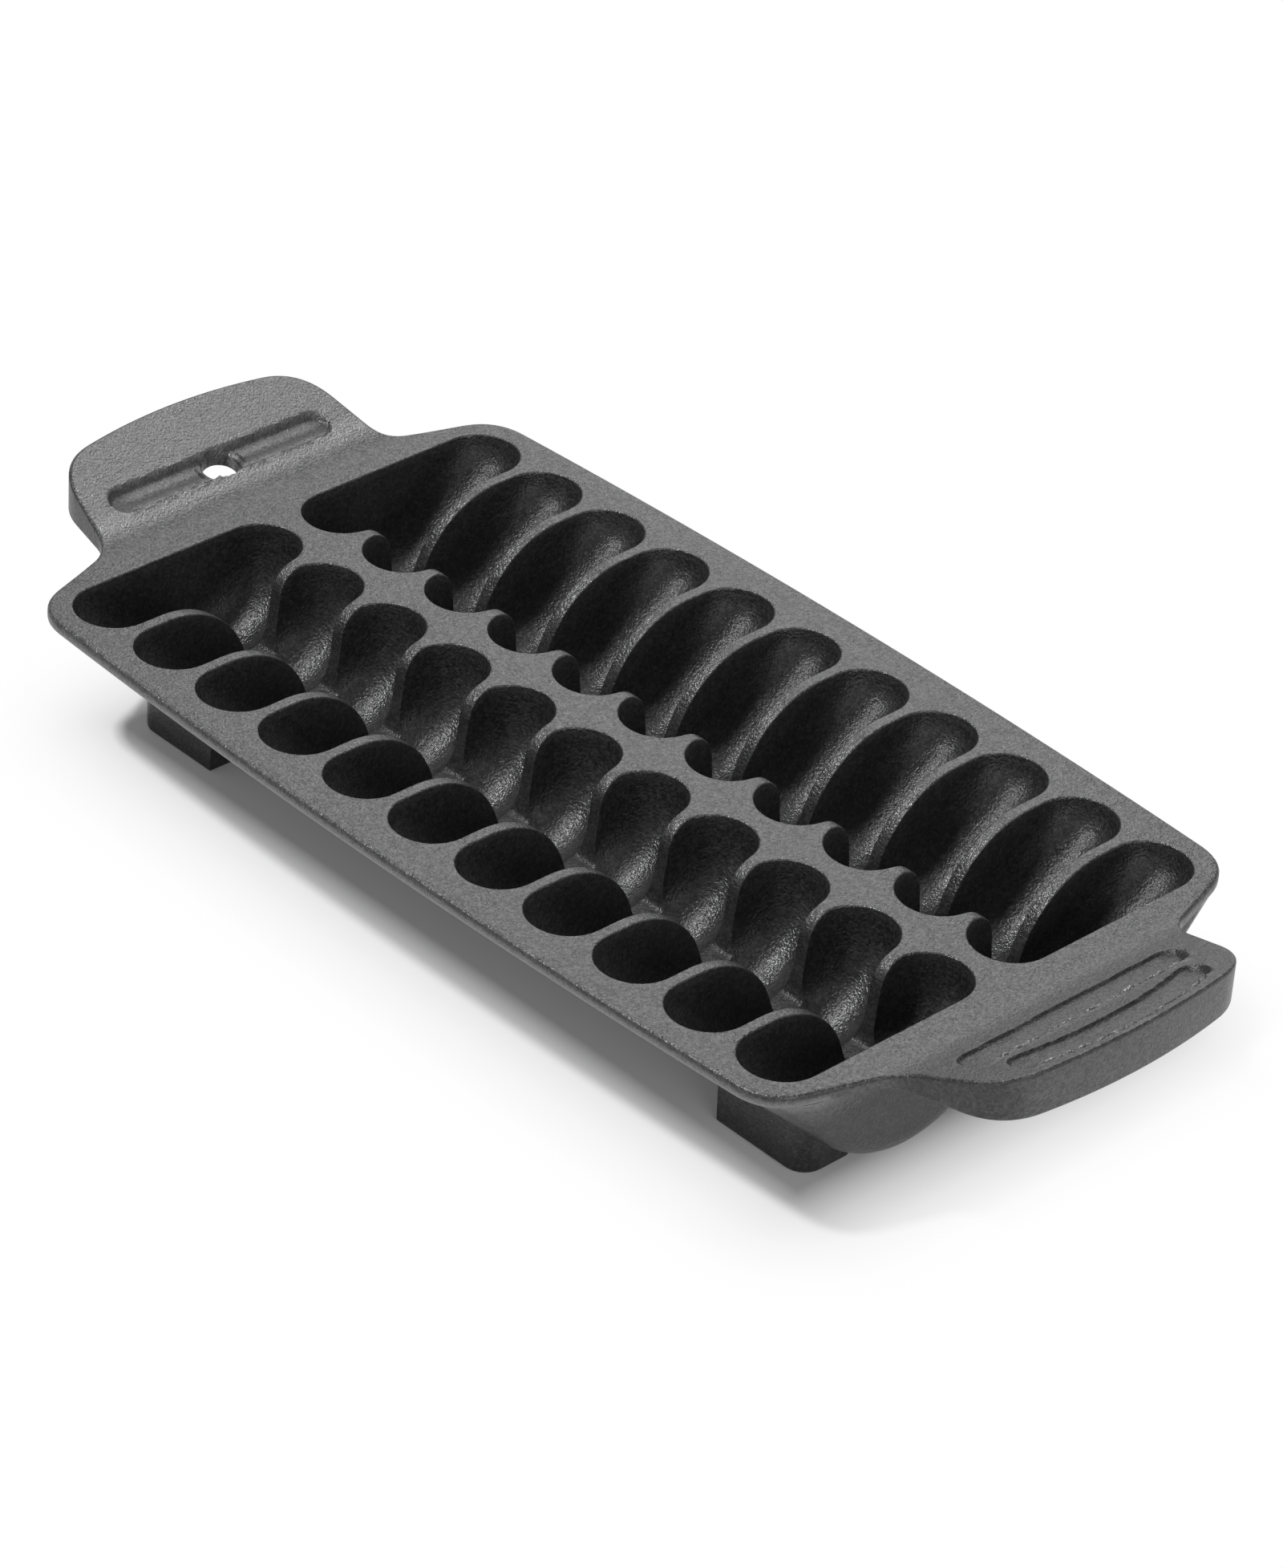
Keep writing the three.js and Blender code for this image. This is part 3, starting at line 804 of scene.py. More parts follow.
@dataclass
class WellBlock:
    """The deck with its two rows of wells, its long rails and the shell underneath."""

    cast: Casting
    pitch: float
    per_row: int
    painted_light_and_shade: WellPaintedLight = WellPaintedLight()
    border: float = 2.7 * MM
    lip_room: float = 0.85
    side_rows: int = 46
    side_spokes: int = 6
    end_spokes: int = 7
    spine_spokes: int = 8
    inner_rings: int = 16
    lip_rings: int = 5
    land_rings: int = 2
    shell_painted_shade: float = -0.9
    shell_start: float = 0.3 * MM
    shell_edge: float = 7.0 * MM
    shell_inset: float = 0.4 * MM
    shell_steps: int = 26
    shell_columns: int = 10
    end_steps: int = 6

    @property
    def side_border(self) -> float:
        """How far the border beside the end wells is from their middle lines."""
        return self.cast.well.radius + self.border

    @property
    def half_row(self) -> float:
        """How far the end wells' middle lines are from the middle of the pan."""
        return self.pitch * (self.per_row - 1) / 2

    def _row_places(self, fine: int = 400) -> list[float]:
        """Places along a well's straight sides, closer together where the dividers are steep.

        Args:
            fine: How many steps the divider's top is measured in.

        Returns:
            Distances from the spine, in order.
        """
        well = self.cast.well
        places = [well.spine_end + (well.outer_end - well.spine_end) * share for share in shares(fine)]
        line = [Vector((v, well.divider_top(v) / 2)) for v in places]
        return [point.x for point in points_along(line, shares(self.side_rows))[0]]

    def _spokes(self, kind: CellKind) -> list[tuple[Vector, Vector]]:
        """Lines from a well's middle line to the border of its cell, all the way round.

        Args:
            kind: Whether the well stands beside the end wall, on its side of larger u.

        Returns:
            Pairs of a start and an end in (u, v), where the last pair repeats the first.
        """
        left = -self.pitch / 2
        right = self.pitch / 2 if kind is CellKind.INNER else self.side_border
        inner = Vector((0.0, self.cast.well.spine_end))
        outer = Vector((0.0, self.cast.well.outer_end))
        top = Vector((0.0, outer.y + self.side_border))
        rows = self._row_places()
        spokes = [(Vector((0.0, v)), Vector((right, v))) for v in rows]
        if kind is CellKind.INNER:
            corner = Vector((right, top.y))
            ends = spread(Vector((right, outer.y)), corner, self.side_spokes)
            ends += spread(corner, top, self.end_spokes)
        else:
            turns = quarter(self.side_spokes + self.end_spokes)[1:]
            ends = [outer + Vector((math.cos(a), math.sin(a))) * self.side_border for a in turns]
        corner = Vector((left, top.y))
        ends += spread(top, corner, self.end_spokes)
        ends += spread(corner, Vector((left, outer.y)), self.side_spokes)
        spokes += [(outer, end) for end in ends]
        spokes += [(Vector((0.0, v)), Vector((left, v))) for v in reversed(rows[:-1])]
        low_left, low_right = Vector((left, 0.0)), Vector((right, 0.0))
        ends = spread(Vector((left, inner.y)), low_left, self.spine_spokes)
        ends += spread(low_left, low_right, 2 * self.spine_spokes)
        ends += spread(low_right, Vector((right, inner.y)), self.spine_spokes)
        return spokes + [(inner, end) for end in ends]

    def _section(self, start: Vector, end: Vector, kind: CellKind, fine: int = 64) -> list[Vector]:
        """The surface under one spoke, from the well's middle line to the border.

        Args:
            start: The spoke's start in (u, v).
            end: Its end.
            kind: Whether the well stands beside the end wall.
            fine: How many steps the well's bowl is measured in.

        Returns:
            Points (u, v, z), one for each ring and one more.
        """
        well = self.cast.well
        length = (end - start).length
        walled = kind is CellKind.LAST and end.x > start.x

        def at(distance: float) -> Vector:
            """Returns a place on the spoke."""
            return start.lerp(end, distance / length)

        def top(distance: float) -> float:
            """Returns the height of the deck or the divider there."""
            return 0.0 if walled else well.divider_top(at(distance).y)

        def bottom(distance: float) -> float:
            """Returns the height of the well's bottom there."""
            return well.floor(*at(distance))

        steps = [math.sin(turn) for turn in quarter(fine)]
        mouth = (well.radius * step for step in steps)
        edge = next((spot for spot in mouth if bottom(spot) > top(spot)), well.radius)
        inside = [Vector((edge * step, bottom(edge * step))) for step in steps]
        inside[-1].y = min(inside[-1].y, top(edge))
        rim = Vector((edge, top(edge)))
        if rim.y - inside[-1].y > WELD:
            inside.append(rim)
        lip = 1.0 - well.lip / points_along(inside, [1.0])[1]
        points = points_along(inside, [lip * share for share in shares(self.inner_rings)])[0]
        lip_start = points[-1]
        out = edge + min(well.lip, (length - edge) * self.lip_room)
        lip_end = Vector((out, top(out)))
        points += [curve(lip_start, rim, lip_end, share) for share in shares(self.lip_rings)[1:]]
        for share in shares(self.land_rings)[1:]:
            distance = lip_end.x + (length - lip_end.x) * share
            points.append(Vector((distance, top(distance))))
        return [Vector((*at(point.x), point.y)) for point in points]

    def _lay_wells(self, bm: BMesh) -> None:
        """Adds every well's cell to a mesh.

        Args:
            bm: The mesh.
        """
        cells = {}
        for kind in CellKind:
            cells[kind] = [self._section(start, end, kind) for start, end in self._spokes(kind)]
        for row in Row:
            for i in range(self.per_row):
                cell = cells[CellKind.LAST if i in (0, self.per_row - 1) else CellKind.INNER]
                side = -1.0 if i == 0 else 1.0
                x = i * self.pitch - self.half_row
                spots = [[Vector((x + side * u, row.value * v, z)) for u, v, z in line] for line in cell]
                lay_grid(bm, spots)
        weld(bm)

    def _target(self, home: Vector, inset: float, drop: float = 0.0) -> Vector:
        """Where the deck's edge lies beyond a place on the border of the wells.

        Args:
            home: The place on the border.
            inset: How far in from the outline the wanted place is.
            drop: How far below the deck it is.

        Returns:
            The place at the edge.
        """
        x, y = abs(home.x), abs(home.y)
        turn = Vector((self.half_row, self.cast.well.outer_end))
        if y <= turn.y + TOUCH:
            point, normal = self.cast.outline.side(self.cast.seam)
            spot = Vector((self.cast.seam, y * (point.y - inset / normal.y) / turn.y))
        else:
            outline = self.cast.outline
            point, normal = outline.side(x) if x <= turn.x else outline.hit(turn, Vector((x, y)) - turn)
            spot = point - normal * inset
        return Vector((math.copysign(spot.x, home.x), math.copysign(spot.y, home.y), -drop))

    def _lay_rim(self, bm: BMesh) -> None:
        """Grows the deck from the wells' border to its edge, and round the edge.

        Args:
            bm: The mesh, with its wells.
        """
        edges = open_edges(bm)
        homes = {vert: vert.co.copy() for edge in edges for vert in edge.verts}
        rings = self.cast.rim.rings()
        edges, homes = grow_ring(
            bm, edges, homes, lambda home: home.lerp(self._target(home, *rings[0]), 0.5))
        for ring in rings:
            edges, homes = grow_ring(bm, edges, homes, lambda home: self._target(home, *ring))

    def _shell_profile(self, x: float) -> list[Vector]:
        """One side of the shell's underside at a place along it.

        Args:
            x: The place.

        Returns:
            Points (v, z) from the valley between the rows to the deck's edge.
        """
        well, rim, outline = self.cast.well, self.cast.rim, self.cast.outline
        into = max(abs(x) - (outline.shell_end - self.shell_edge), 0.0)
        inset = self.shell_edge - math.sqrt(max(self.shell_edge ** 2 - into ** 2, 0.0))
        radius = well.shell_radius - inset
        top = math.sqrt(max(radius ** 2 - (rim.thickness + well.bend_height) ** 2, 0.0))
        first = -math.pi / 2 - math.asin(min(min(top, well.bend_middle) / radius, 1.0))
        last = well.ramp_angle - math.pi / 2
        turns = [first + (last - first) * share for share in shares(self.shell_steps)]
        middle = Vector((well.bend_middle, well.bend_height))
        arc = [middle + Vector((math.cos(a), math.sin(a))) * radius for a in turns]
        edge = outline.side(abs(x))[0].y - rim.foot_radius - self.shell_inset
        side = Vector((edge, -rim.thickness))
        return [Vector((0.0, arc[0].y)), *arc, arc[-1].lerp(side, 0.5), side]

    def _lay_shell(self, bm: BMesh) -> None:
        """Adds the shell's underside and end walls, and closes the deck's underside.

        Args:
            bm: The mesh, with its rim.
        """
        shell_end = self.cast.outline.shell_end
        ends = [shell_end - self.shell_edge * (1 - math.sin(a)) for a in quarter(self.end_steps)]
        half = [ends[0] * share for share in shares(self.shell_columns)[1:-1]] + ends
        spots = []
        for x in [*(-x for x in reversed(half)), 0.0, *half]:
            side = [Vector((x, v, z)) for v, z in self._shell_profile(x)]
            mirrored = [Vector((x, -y, z)) for x, y, z in side[:0:-1]]
            spots.append(mirrored + side)
        verts = lay_grid(bm, spots)

        def turn(vert: BMVert) -> float:
            """Returns the direction of a point from the middle of an end wall."""
            rise = vert.co.z + self.cast.rim.thickness / 2
            return math.atan2(rise, abs(vert.co.y) - self.cast.well.bend_middle)

        for end in End:
            wall = [vert for vert in verts if abs(vert.co.x - end.value * shell_end) < TOUCH]
            for row in Row:
                bm.faces.new(sorted((vert for vert in wall if vert.co.y * row.value > TOUCH), key=turn))
        weld(bm)
        bmesh.ops.triangle_fill(bm, use_beauty=True, edges=open_edges(bm), normal=Vector((0.0, 0.0, -1.0)))

    def _painted_light(self, place: Vector) -> float:
        """How much painted light and shade the top side has at a place.

        Args:
            place: A point of the deck or of a well.

        Returns:
            The painted light and shade, with no crest beyond the end wells.
        """
        beyond = abs(place.x) > self.half_row
        top = 0.0 if beyond else -self.cast.well.divider_top(abs(place.y))
        number = min(max(round((place.x + self.half_row) / self.pitch), 0), self.per_row - 1)
        return self.painted_light_and_shade.at(-place.z, top, place.x + self.half_row - number * self.pitch)

    def build(self) -> None:
        """Builds the piece."""
        bm = bmesh.new()
        layer = bm.verts.layers.float.new(PAINTED_LIGHT_AND_SHADE)
        self._lay_wells(bm)
        for vert in bm.verts:
            vert[layer] = self._painted_light(vert.co)
        top = set(bm.verts)
        self._lay_rim(bm)
        self._lay_shell(bm)
        rim = self.cast.rim
        # The shell's underside is darkened with painted shade; the deck's edge gets its painted shade line
        # and painted sheen.
        for vert in set(bm.verts) - top:
            low = vert.co.z < -rim.thickness - self.shell_start
            vert[layer] = self.shell_painted_shade if low else rim.painted_light_and_shade(-vert.co.z)
        nodes = [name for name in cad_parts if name.startswith(("well_", "rail_"))]
        self.cast.add("well_block", bm, nodes)


@dataclass(frozen=True)
class Groove:
    """A finger groove across a handle: a sloping floor, a steep outer wall and a torn ridge along one lip.

    The walls, the crease and one end of the groove are darkened with painted shade, and its ridge gets
    painted light, paler or darker by its own amount. The sides of the ridge, the crease and the shaded end
    are signs: outwards or inwards for the ridge and the crease, and far or near for the shaded end.
    """

    setback: float
    length: float
    bow: float = 0.0
    width: float = 8.4 * MM
    depth: float = 2.0 * MM
    wall: float = 1.6 * MM
    fall: float = 0.5
    wall_painted_shade: float = 0.9
    crease_painted_shade: float = 0.0
    crease_place: float = 1.0 * MM
    crease_width: float = 1.0 * MM
    end_shade: float = 3.6 * MM
    end_shade_side: int = -1
    ridge_side: int = 1
    ridge_painted_light: float = 2.0
    ridge_height: float = 0.7 * MM
    ridge_width: float = 0.9 * MM
    ridge_grain: float = 1.1 * MM
    ridge_level: float = 0.6
    ridge_tear: float = 0.9

    def at(self, along: float, across: float) -> tuple[float, float]:
        """The groove at a place of the handle's face.

        Args:
            along: How far the place is past the end of the wells' shell.
            across: How far it is from the middle of the pan.

        Returns:
            The depth below the face, less than nothing on the ridge, and the painted light and shade.
        """
        half = (self.length - self.width) / 2
        past = along - self.setback + self.bow * min(abs(across) / half, 1.0) ** 2
        away = math.hypot(past, max(abs(across) - half, 0.0))
        inside = min(max((self.width / 2 - away) / self.wall, 0.0), 1.0)
        aside = past * self.ridge_side
        torn = noise.noise(Vector((past, across, self.setback)) / self.ridge_grain)
        ridge = math.exp(-((aside - self.width / 2) / self.ridge_width) ** 2)
        ridge *= min(max(1.0 + (half - abs(across)) / (self.width / 4), 0.0), 1.0)
        ridge *= self.ridge_level + self.ridge_tear * torn
        tilt = 1.0 - self.fall * (0.5 - past / self.width)
        depth = self.depth * math.sqrt(inside * (2.0 - inside)) * tilt - self.ridge_height * ridge
        # Painted shade at the groove's end, on its walls and in its crease; painted light on the ridge.
        to_end = self.length / 2 - self.wall - self.end_shade_side * across
        end_shade = math.exp(-(to_end / self.end_shade) ** 2)
        wall = self.wall_painted_shade * 4.0 * (1.0 - inside)
        crease = self.crease_painted_shade * math.exp(-((aside - self.crease_place) / self.crease_width) ** 2)
        return depth, ridge * self.ridge_painted_light - inside * (wall + end_shade + crease)


@dataclass
class Handle:
    """A handle: a rising plate with a skirt round it, hollow underneath.

    Its grids run in columns from the seam to the tip, and in rows from near to far. Every handle is laid
    at the front, and the back one is then turned round.
    """

    cast: Casting
    end: End
    grooves: tuple[Groove, ...]
    hole: tuple[float, float] | None = None
    start: float = 140.2 * MM
    ease: float = 3.6 * MM
    rise: float = math.radians(19.6)
    plate: float = 5.0 * MM
    skirt: float = 4.2 * MM
    skirt_round: float = 0.8 * MM
    skirt_tip_drop: float = 1.7 * MM
    # The face's own amount is a painted highlight above nothing and painted shade below; the lip gets a
    # painted highlight, the bend and the sides painted shade.
    face_painted_light: float = 0.0
    face_start: Fade = Fade(0.0, 7.0 * MM)
    lip_painted_highlight: float = 0.0
    lip_start: Fade = Fade(4.0 * MM, 9.0 * MM)
    lip_end: Fade = Fade(17.0 * MM, 11.0 * MM)
    bend_painted_shade: float = 0.0
    bend_place: float = 2.0 * MM
    bend_width: float = 3.5 * MM
    side_painted_shade: float = 0.8
    side_start: Fade = Fade(0.0, 6.0 * MM)
    side_place: Fade = Fade(30.0 * MM, 42.0 * MM)
    columns: int = 90
    rows: int = 150
    hole_edge: float = 0.9 * MM
    hole_steps: int = 4
    hole_columns: int = 8
    hole_rows: int = 5
    hole_blend: Fade = Fade(1.0, 2.2)
    hole_column: int = field(init=False)

    def __post_init__(self) -> None:
        """Finds the column of the face's grid that the hanging hole is on."""
        line = [column[self.rows // 2].x for column in self._plan(self.cast.rim.top_radius)]
        self.hole_column = min(range(self.columns), key=lambda i: abs(line[i] - self.hole_middle))

    @property
    def hole_middle(self) -> float:
        """Where the middle of the hanging hole is along the pan."""
        return self.cast.outline.shell_end + self.grooves[0].setback

    def _plan(self, inset: float) -> Grid:
        """The places of one of the handle's grids in plan.

        Args:
            inset: How far in from the outline the grid's edge lies.

        Returns:
            The places by column and row.
        """
        side, tip = self.cast.outline.handle_edges(self.cast.seam, inset)
        half = self.rows // 2
        sides = points_along(side, shares(self.columns))[0]
        tips = points_along(tip, shares(half))[0]
        corner = side[-1]
        places = []
        for edge, s in zip(sides, shares(self.columns)):
            line = []
            for j in range(-half, half + 1):
                end = tips[half - abs(j)]
                y = abs(j) / half * (edge.y - s * corner.y) + s * end.y
                line.append(Vector((edge.x + s * (end.x - corner.x), math.copysign(y, j))))
            places.append(line)
        return places

    def _rise(self, x: float) -> float:
        """The height of the handle's face without its grooves.

        Args:
            x: A place along the pan.

        Returns:
            The height, eased in from the deck.
        """
        past = x - self.start
        slope = math.tan(self.rise)
        if abs(past) < self.ease:
            return (past + self.ease) ** 2 / (4 * self.ease) * slope
        return max(past, 0.0) * slope

    def _face(self, place: Vector) -> float:
        """Returns the height of the handle's face at a place in plan."""
        along = place.x - self.cast.outline.shell_end
        return self._rise(place.x) - sum(groove.at(along, place.y)[0] for groove in self.grooves)

    def _face_painted_light(self, place: Vector) -> float:
        """How much painted light and shade the handle's face has.

        Args:
            place: A point of the face.

        Returns:
            The painted light and shade, with a painted highlight on the lip before the groove, painted
            shade in the bend and the grooves' own.
        """
        past = place.x - self.start
        along = place.x - self.cast.outline.shell_end
        face = self.face_painted_light * self.face_start.at(past)
        lip = self.lip_painted_highlight * self.lip_start.at(along) * self.lip_end.at(along)
        bend = self.bend_painted_shade * math.exp(-((past - self.bend_place) / self.bend_width) ** 2)
        return face + lip - bend + sum(groove.at(along, place.y)[1] for groove in self.grooves)

    def _edge_painted_light(self, place: Vector) -> float:
        """Returns the painted light and shade of the handle's edge at a place: the rim's, with painted
        shade along its sides.
        """
        side = self.side_place.at(abs(place.y)) * self.side_start.at(place.x - self.start)
        return min(self.cast.rim.painted_light_and_shade(self._rise(place.x) - place.z), -self.side_painted_shade * side)

    def _base(self, x: float) -> float:
        """The height of the skirt's lower edge.

        Args:
            x: A place along the pan.

        Returns:
            The height, rising a little towards the tip.
        """
        thickness = self.cast.rim.thickness
        slope = (thickness - self.skirt_tip_drop) / (self.cast.outline.tip - self.start)
        return max(x - self.start, 0.0) * slope - thickness

    def _roof(self, place: Vector) -> float:
        """Returns the height of the hollow's roof at a place in plan."""
        plate = self._rise(place.x) - self.plate / math.cos(self.rise)
        return max(plate, self._base(place.x))

    def _oval(self, home: tuple[int, int], widen: float = 0.0) -> tuple[Vector, float]:
        """Where a point of a grid goes if the grid is opened to the hanging hole.

        Args:
            home: The point's column and row.
            widen: How far outside the hole's edge the opening ends.

        Returns:
            The place in plan, and how many times the opening's own radius it lies from its middle.
        """
        a = (home[0] - self.hole_column) / self.hole_columns
        b = (home[1] - self.rows // 2) / self.hole_rows
        reach = max(abs(a), abs(b))
        turn = math.atan2(b, a)
        size = Vector(self.hole) / 2 + Vector((widen, widen))
        way = Vector((math.cos(turn) * size.x, math.sin(turn) * size.y)) * reach
        return way + Vector((self.hole_middle, 0.0)), reach

    def _open(self, plan: Grid, widen: float) -> None:
        """Moves the places of a grid aside for the hanging hole.

        Args:
            plan: The places in plan.
            widen: How far outside the hole's edge the opening ends.
        """
        for i, line in enumerate(plan):
            for j, spot in enumerate(line):
                place, reach = self._oval((i, j), widen)
                line[j] = place.lerp(spot, self.hole_blend.at(reach))

    def _lay_sheet(self, bm: BMesh, plan: Grid, height: Callable[[Vector], float]) -> dict:
        """Adds the handle's face or the roof of its hollow, open at the hanging hole.

        Args:
            bm: The mesh.
            plan: The sheet's places in plan.
            height: Gives the sheet's height at a place.

        Returns:
            The column and row of each of the sheet's points.
        """
        homes = lay_grid(bm, [[raised(place, height) for place in line] for line in plan])
        if self.hole:
            inside = [vert for vert, home in homes.items() if self._oval(home)[1] < 1.0 - TOUCH]
            for vert in inside:
                del homes[vert]
            bmesh.ops.delete(bm, geom=inside, context="VERTS")
        return homes

    def _lay_edge(self, bm: BMesh, homes: dict, roof: Grid) -> None:
        """Grows the handle's edge from its face down, round the skirt and up to the hollow's roof.

        Args:
            bm: The mesh, with the handle's face.
            homes: The column and row of each point of the face.
            roof: The places of the hollow's roof in plan.
        """
        rim = self.cast.rim

        def outside(vert: BMVert) -> bool:
            """Returns whether a point of the face lies on its outer edge."""
            column, row = homes[vert]
            return column == self.columns or row in (0, self.rows)

        def low(place: Vector) -> float:
            """Returns the height that the edge's lower rings are dropped from."""
            return self._base(place.x) + rim.thickness

        def high(place: Vector) -> float:
            """Returns the height that its upper rings are dropped from."""
            return self._rise(place.x)

        edges = [edge for edge in open_edges(bm) if all(outside(vert) for vert in edge.verts)]
        for inset, drop in [*rim.rings()[1:], (self.skirt - self.skirt_round, rim.thickness)]:
            plan = self._plan(inset)
            height = low if drop > rim.thickness / 2 else high
            edges, homes = grow_ring(
                bm, edges, homes, lambda home: raised(plan[home[0]][home[1]], height, drop))
        grow_ring(bm, edges, homes, lambda home: raised(roof[home[0]][home[1]], self._roof))

    def _lay_hole(self, bm: BMesh, homes: dict) -> None:
        """Grows the wall of the hanging hole from the handle's face to the hollow's roof.

        Args:
            bm: The mesh, with the handle's face.
            homes: The column and row of each point of the face.
        """
        border = {vert for vert, home in homes.items() if self._oval(home)[1] < 1.0 + TOUCH}
        edges = [edge for edge in open_edges(bm) if border.issuperset(edge.verts)]
        for turn in quarter(self.hole_steps)[1:]:
            widen = self.hole_edge * (1 - math.sin(turn))
            drop = self.hole_edge * (1 - math.cos(turn))
            edges, homes = grow_ring(
                bm, edges, homes, lambda home: raised(self._oval(home, widen)[0], self._face, drop))
        grow_ring(bm, edges, homes, lambda home: raised(self._oval(home)[0], self._roof))

    def build(self) -> None:
        """Builds the piece."""
        bm = bmesh.new()
        layer = bm.verts.layers.float.new(PAINTED_LIGHT_AND_SHADE)
        face = self._plan(self.cast.rim.top_radius)
        roof = self._plan(self.skirt)
        if self.hole:
            self._open(face, self.hole_edge)
            self._open(roof, 0.0)
        homes = self._lay_sheet(bm, face, self._face)
        for vert in homes:
            vert[layer] = self._face_painted_light(vert.co)
        self._lay_edge(bm, homes, roof)
        for vert in set(bm.verts) - set(homes):
            vert[layer] = self._edge_painted_light(vert.co)
        if self.hole:
            self._lay_hole(bm, homes)
        self._lay_sheet(bm, roof, self._roof)
        weld(bm)
        bmesh.ops.holes_fill(bm, edges=open_edges(bm))
        if self.end is End.BACK:
            bmesh.ops.rotate(bm, verts=bm.verts, matrix=Matrix.Rotation(math.pi, 3, "Z"))
        name = f"handle_{self.end.name.lower()}"
        self.cast.add(f"cast_{name}", bm, [name])


@dataclass
class Foot:
    """A block under the shell, with a round corner at the pan's own corner."""

    cast: Casting
    row: Row
    end: End
    # The whole foot is darkened with painted shade.
    painted_light_and_shade: float = -1.0
    corner_radius: float = 6.0 * MM
    corner_steps: int = 10
    edge_radius: float = 1.0 * MM
    edge_steps: int = 3
    lean: float = 0.07
    sunk: float = 1.8 * MM
    slices: int = 8

    def build(self) -> None:
        """Builds the piece in the box of its solid."""
        name = f"foot_{self.row.name.lower()}_{self.end.name.lower()}"
        down = Vector((0.0, 0.0, self.cast.lift))
        low, high = (Vector(corner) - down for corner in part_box(name))
        middle, size = (low + high) / 2, high - low
        box = Matrix.Translation(middle) @ Matrix.Diagonal(size.to_4d())
        bm = bmesh.new()
        bmesh.ops.create_cube(bm, size=1.0, matrix=box)
        upright = [edge for edge in bm.edges
                   if all((vert.co.x - middle.x) * self.end.value > 0 for vert in edge.verts)
                   and all((vert.co.y - middle.y) * self.row.value > 0 for vert in edge.verts)]
        self._round(bm, upright, self.corner_radius, self.corner_steps)
        around = [edge for edge in bm.edges if all(vert.co.z < middle.z for vert in edge.verts)]
        self._round(bm, around, self.edge_radius, self.edge_steps)
        for share in shares(self.slices)[1:-1]:
            cut = Vector((0.0, low.y + size.y * share, 0.0))
            geom = [*bm.verts, *bm.edges, *bm.faces]
            bmesh.ops.bisect_plane(bm, geom=geom, plane_co=cut, plane_no=Vector((0.0, 1.0, 0.0)))
        layer = bm.verts.layers.float.new(PAINTED_LIGHT_AND_SHADE)
        for vert in bm.verts:
            vert[layer] = self.painted_light_and_shade
            if vert.co.z > high.z - TOUCH:
                vert.co.z = self.cast.well.underside(abs(vert.co.y)) + self.sunk
            grown = 1.0 + self.lean * (vert.co.z - low.z) / size.x
            vert.co.x = middle.x + (vert.co.x - middle.x) * grown
        self.cast.add(f"cast_{name}", bm, [name])

    @staticmethod
    def _round(bm: BMesh, edges: list[BMEdge], radius: float, steps: int) -> None:
        """Rounds edges of a mesh to a radius in a number of steps."""
        bmesh.ops.bevel(bm, geom=edges, offset=radius, offset_type="OFFSET", segments=steps,
                        profile=0.5, affect="EDGES", material=-1)


# Studio


def compass(azimuth: float, elevation: float) -> Vector:
    """Returns a direction from its turn about the vertical and its height, both in radians."""
    level = math.cos(elevation)
    return Vector((math.cos(azimuth) * level, math.sin(azimuth) * level, math.sin(elevation)))


@dataclass(frozen=True)
class PhotoCamera:
    """A long lens on the pan's near front side, tilted a little."""

    name: str = "photo_camera"
    azimuth: float = math.radians(44.87)
    elevation: float = math.radians(33.55)
    roll: float = math.radians(4.08)
    distance: float = 1449.4 * MM
    aim_right: float = 5.2 * MM
    aim_down: float = 12.6 * MM
    focal_pixels: float = 7425.0
    image_width: float = 1600.0

    def build(self, lift: float) -> None:
        """Sets up the scene's camera.

        Args:
            lift: The deck's height over the table.
        """
        back = compass(self.azimuth - math.pi / 2, self.elevation)
        level = compass(self.azimuth, 0.0)
        rise = back.cross(level)
        right = level * math.cos(self.roll) + rise * math.sin(self.roll)
        up = rise * math.cos(self.roll) - level * math.sin(self.roll)
        place = right * self.aim_right - up * self.aim_down + back * self.distance
        place.z += lift
        data = bpy.data.cameras.new(self.name)
        data.sensor_fit = "HORIZONTAL"
        data.lens = data.sensor_width * self.focal_pixels / self.image_width
        camera = bpy.data.objects.new(self.name, data)
        axes = Matrix((right, up, back)).transposed().to_4x4()
        camera.matrix_world = Matrix.Translation(place) @ axes
        bpy.context.collection.objects.link(camera)
        bpy.context.scene.camera = camera


@dataclass(frozen=True)
class SoftBox:
    """A square lamp that points at the pan, with its angles in degrees."""

    name: str
    azimuth: float
    elevation: float
    side: float
    power: float
    distance: float = 1.6

    def build(self) -> None:
        """Builds the lamp."""
        data = bpy.data.lights.new(self.name, "AREA")
        data.shape = "SQUARE"
        data.size = self.side
        data.energy = self.power
        lamp = bpy.data.objects.new(self.name, data)
        way = compass(math.radians(self.azimuth), math.radians(self.elevation))
        lamp.location = way * self.distance
        lamp.rotation_euler = way.to_track_quat("Z", "Y").to_euler()
        lamp.visible_camera = False
        bpy.context.collection.objects.link(lamp)


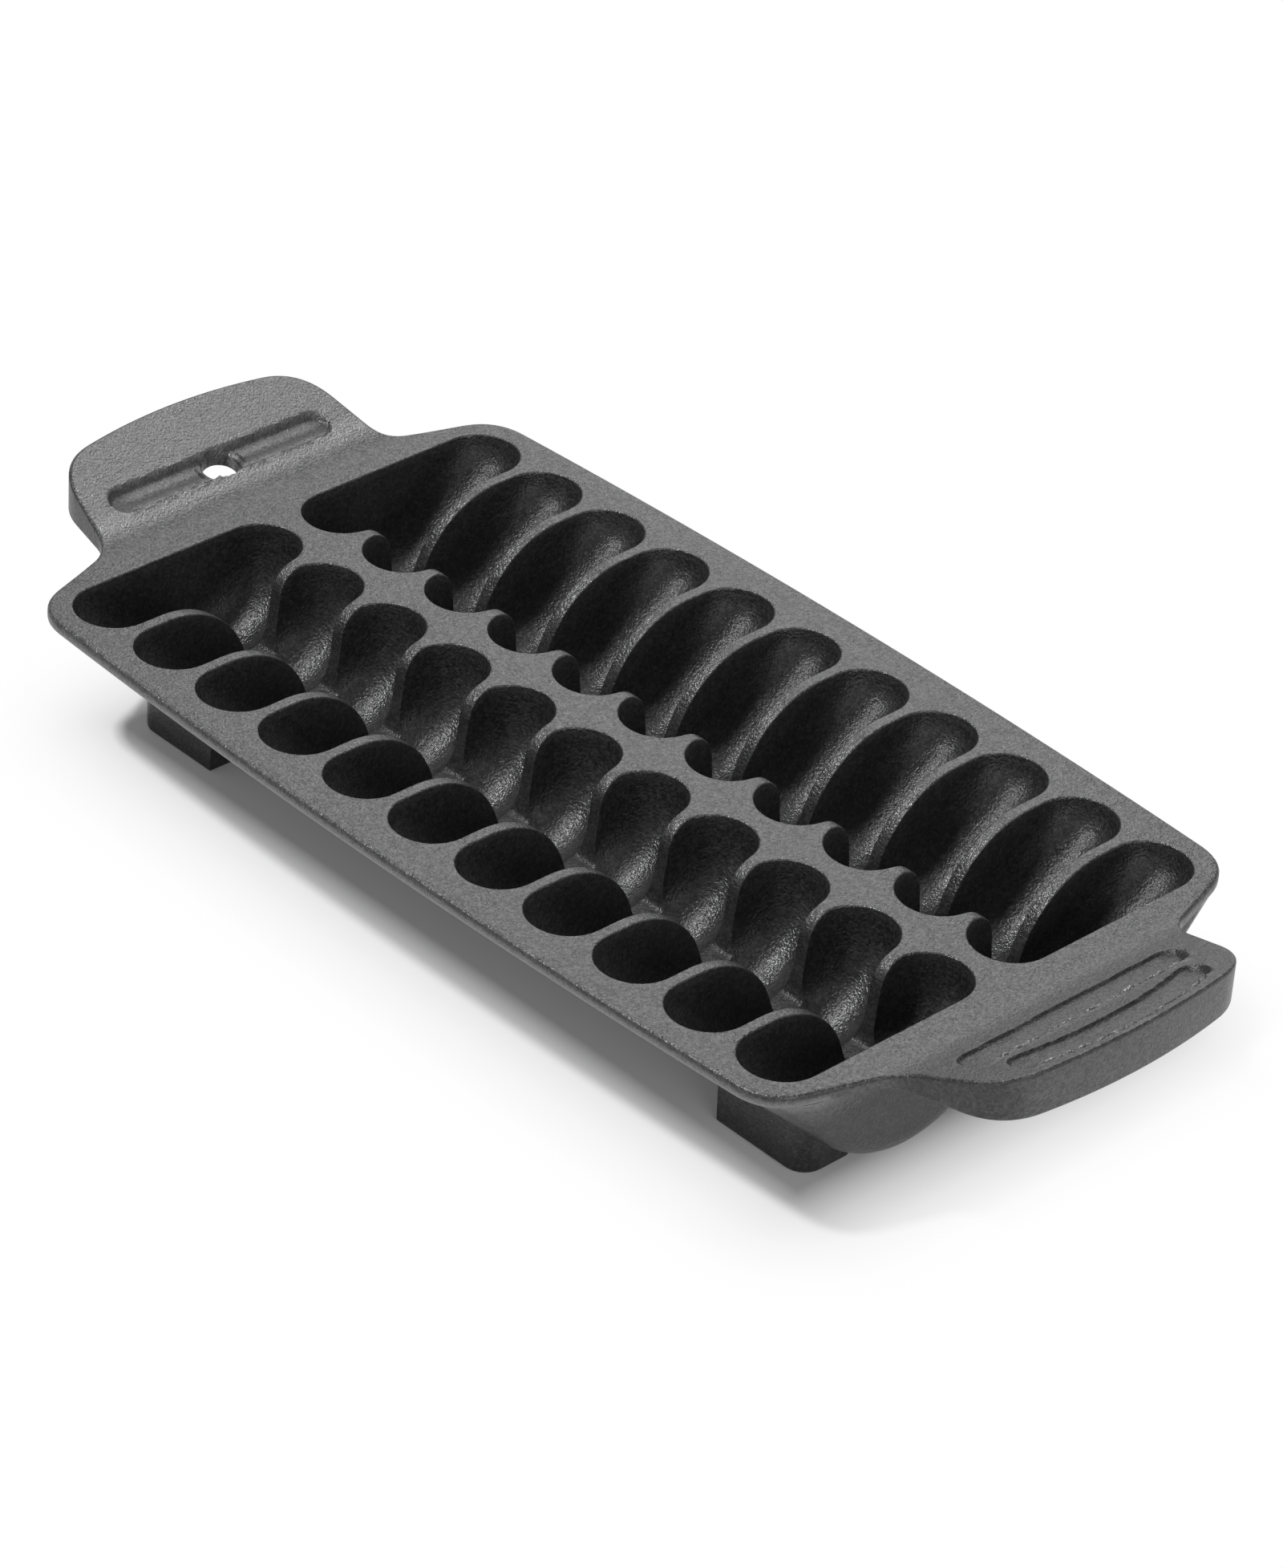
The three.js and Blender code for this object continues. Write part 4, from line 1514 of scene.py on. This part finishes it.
@dataclass(frozen=True)
class Studio:
    """A white floor, white walls with a dim ceiling, and soft lamps."""

    floor_side: float = 8.0
    walls: tuple[tuple[float, float], ...] = ((0.0, 0.42), (0.56, 0.42), (0.72, 0.03), (1.0, 0.03))
    lamps: tuple[SoftBox, ...] = (
        SoftBox("back_left_box", 138.0, 45.0, 1.1, 8.4),
        SoftBox("back_low_box", 126.0, 20.0, 0.9, 2.0),
        SoftBox("overhead_box", 90.0, 70.0, 0.9, 3.0),
        SoftBox("near_left_lamp", 240.0, 62.0, 0.35, 105.0, 4.0),
        SoftBox("front_box", 345.0, 20.0, 0.9, 5.0),
    )

    def _lay_floor(self) -> None:
        """Builds the floor."""
        bm = bmesh.new()
        bmesh.ops.create_grid(bm, x_segments=1, y_segments=1, size=self.floor_side / 2)
        mesh = bpy.data.meshes.new("floor")
        bm.to_mesh(mesh)
        bm.free()
        mesh.materials.append(StudioWhite().material())
        floor = bpy.data.objects.new("floor", mesh)
        bpy.context.collection.objects.link(floor)

    def build(self) -> None:
        """Builds the floor, the lamps and the walls, which the eye sees as plain white."""
        self._lay_floor()
        for lamp in self.lamps:
            lamp.build()
        world = bpy.data.worlds.new("white_walls")
        graph = Graph(world)
        way = graph.node("ShaderNodeTexCoord", output="Generated")
        rise = graph.node("ShaderNodeSeparateXYZ", None, {"Vector": way}, "Z")
        level = graph.node("ShaderNodeValToRGB", {"stops": self.walls}, {"Fac": rise})
        seen = graph.node("ShaderNodeLightPath", output="Is Camera Ray")
        level = graph.node("ShaderNodeMath", {"operation": "MAXIMUM"}, {0: level, 1: seen})
        walls = graph.node("ShaderNodeBackground", None, {"Color": level, "Strength": 1.0})
        graph.finish("ShaderNodeOutputWorld", walls)
        bpy.context.scene.world = world
        bpy.context.scene.view_settings.view_transform = "Standard"


def main() -> None:
    """Builds the pan, the studio and the camera."""
    logging.basicConfig(level=logging.INFO, format="%(message)s")
    low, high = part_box("well_far_06")
    cast = Casting(CastIron().material(), lift=high[2], seam=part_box("well_far_11")[1][0])
    per_row = sum(1 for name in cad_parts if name.startswith("well_far_"))
    WellBlock(cast, high[0] - low[0], per_row).build()
    inner = Groove(setback=17.2 * MM, length=72.0 * MM)
    outer = Groove(setback=31.7 * MM, length=63.0 * MM, bow=3.6 * MM)
    # The front face gets painted shade; the back face and lip get painted highlights, with painted shade in
    # the bend and the groove.
    Handle(cast, End.FRONT, (inner, outer), face_painted_light=-0.6).build()
    single = Groove(setback=17.2 * MM, length=72.0 * MM, wall_painted_shade=0.5, crease_painted_shade=1.6,
                    end_shade_side=1, ridge_side=-1, ridge_painted_light=-0.3)
    Handle(cast, End.BACK, (single,), hole=(9.0 * MM, 10.6 * MM),
           face_painted_light=0.4, lip_painted_highlight=0.4, bend_painted_shade=0.3).build()
    for row in Row:
        for end in End:
            Foot(cast, row, end).build()
    PhotoCamera().build(cast.lift)
    Studio().build()


if __name__ == "__main__":
    main()
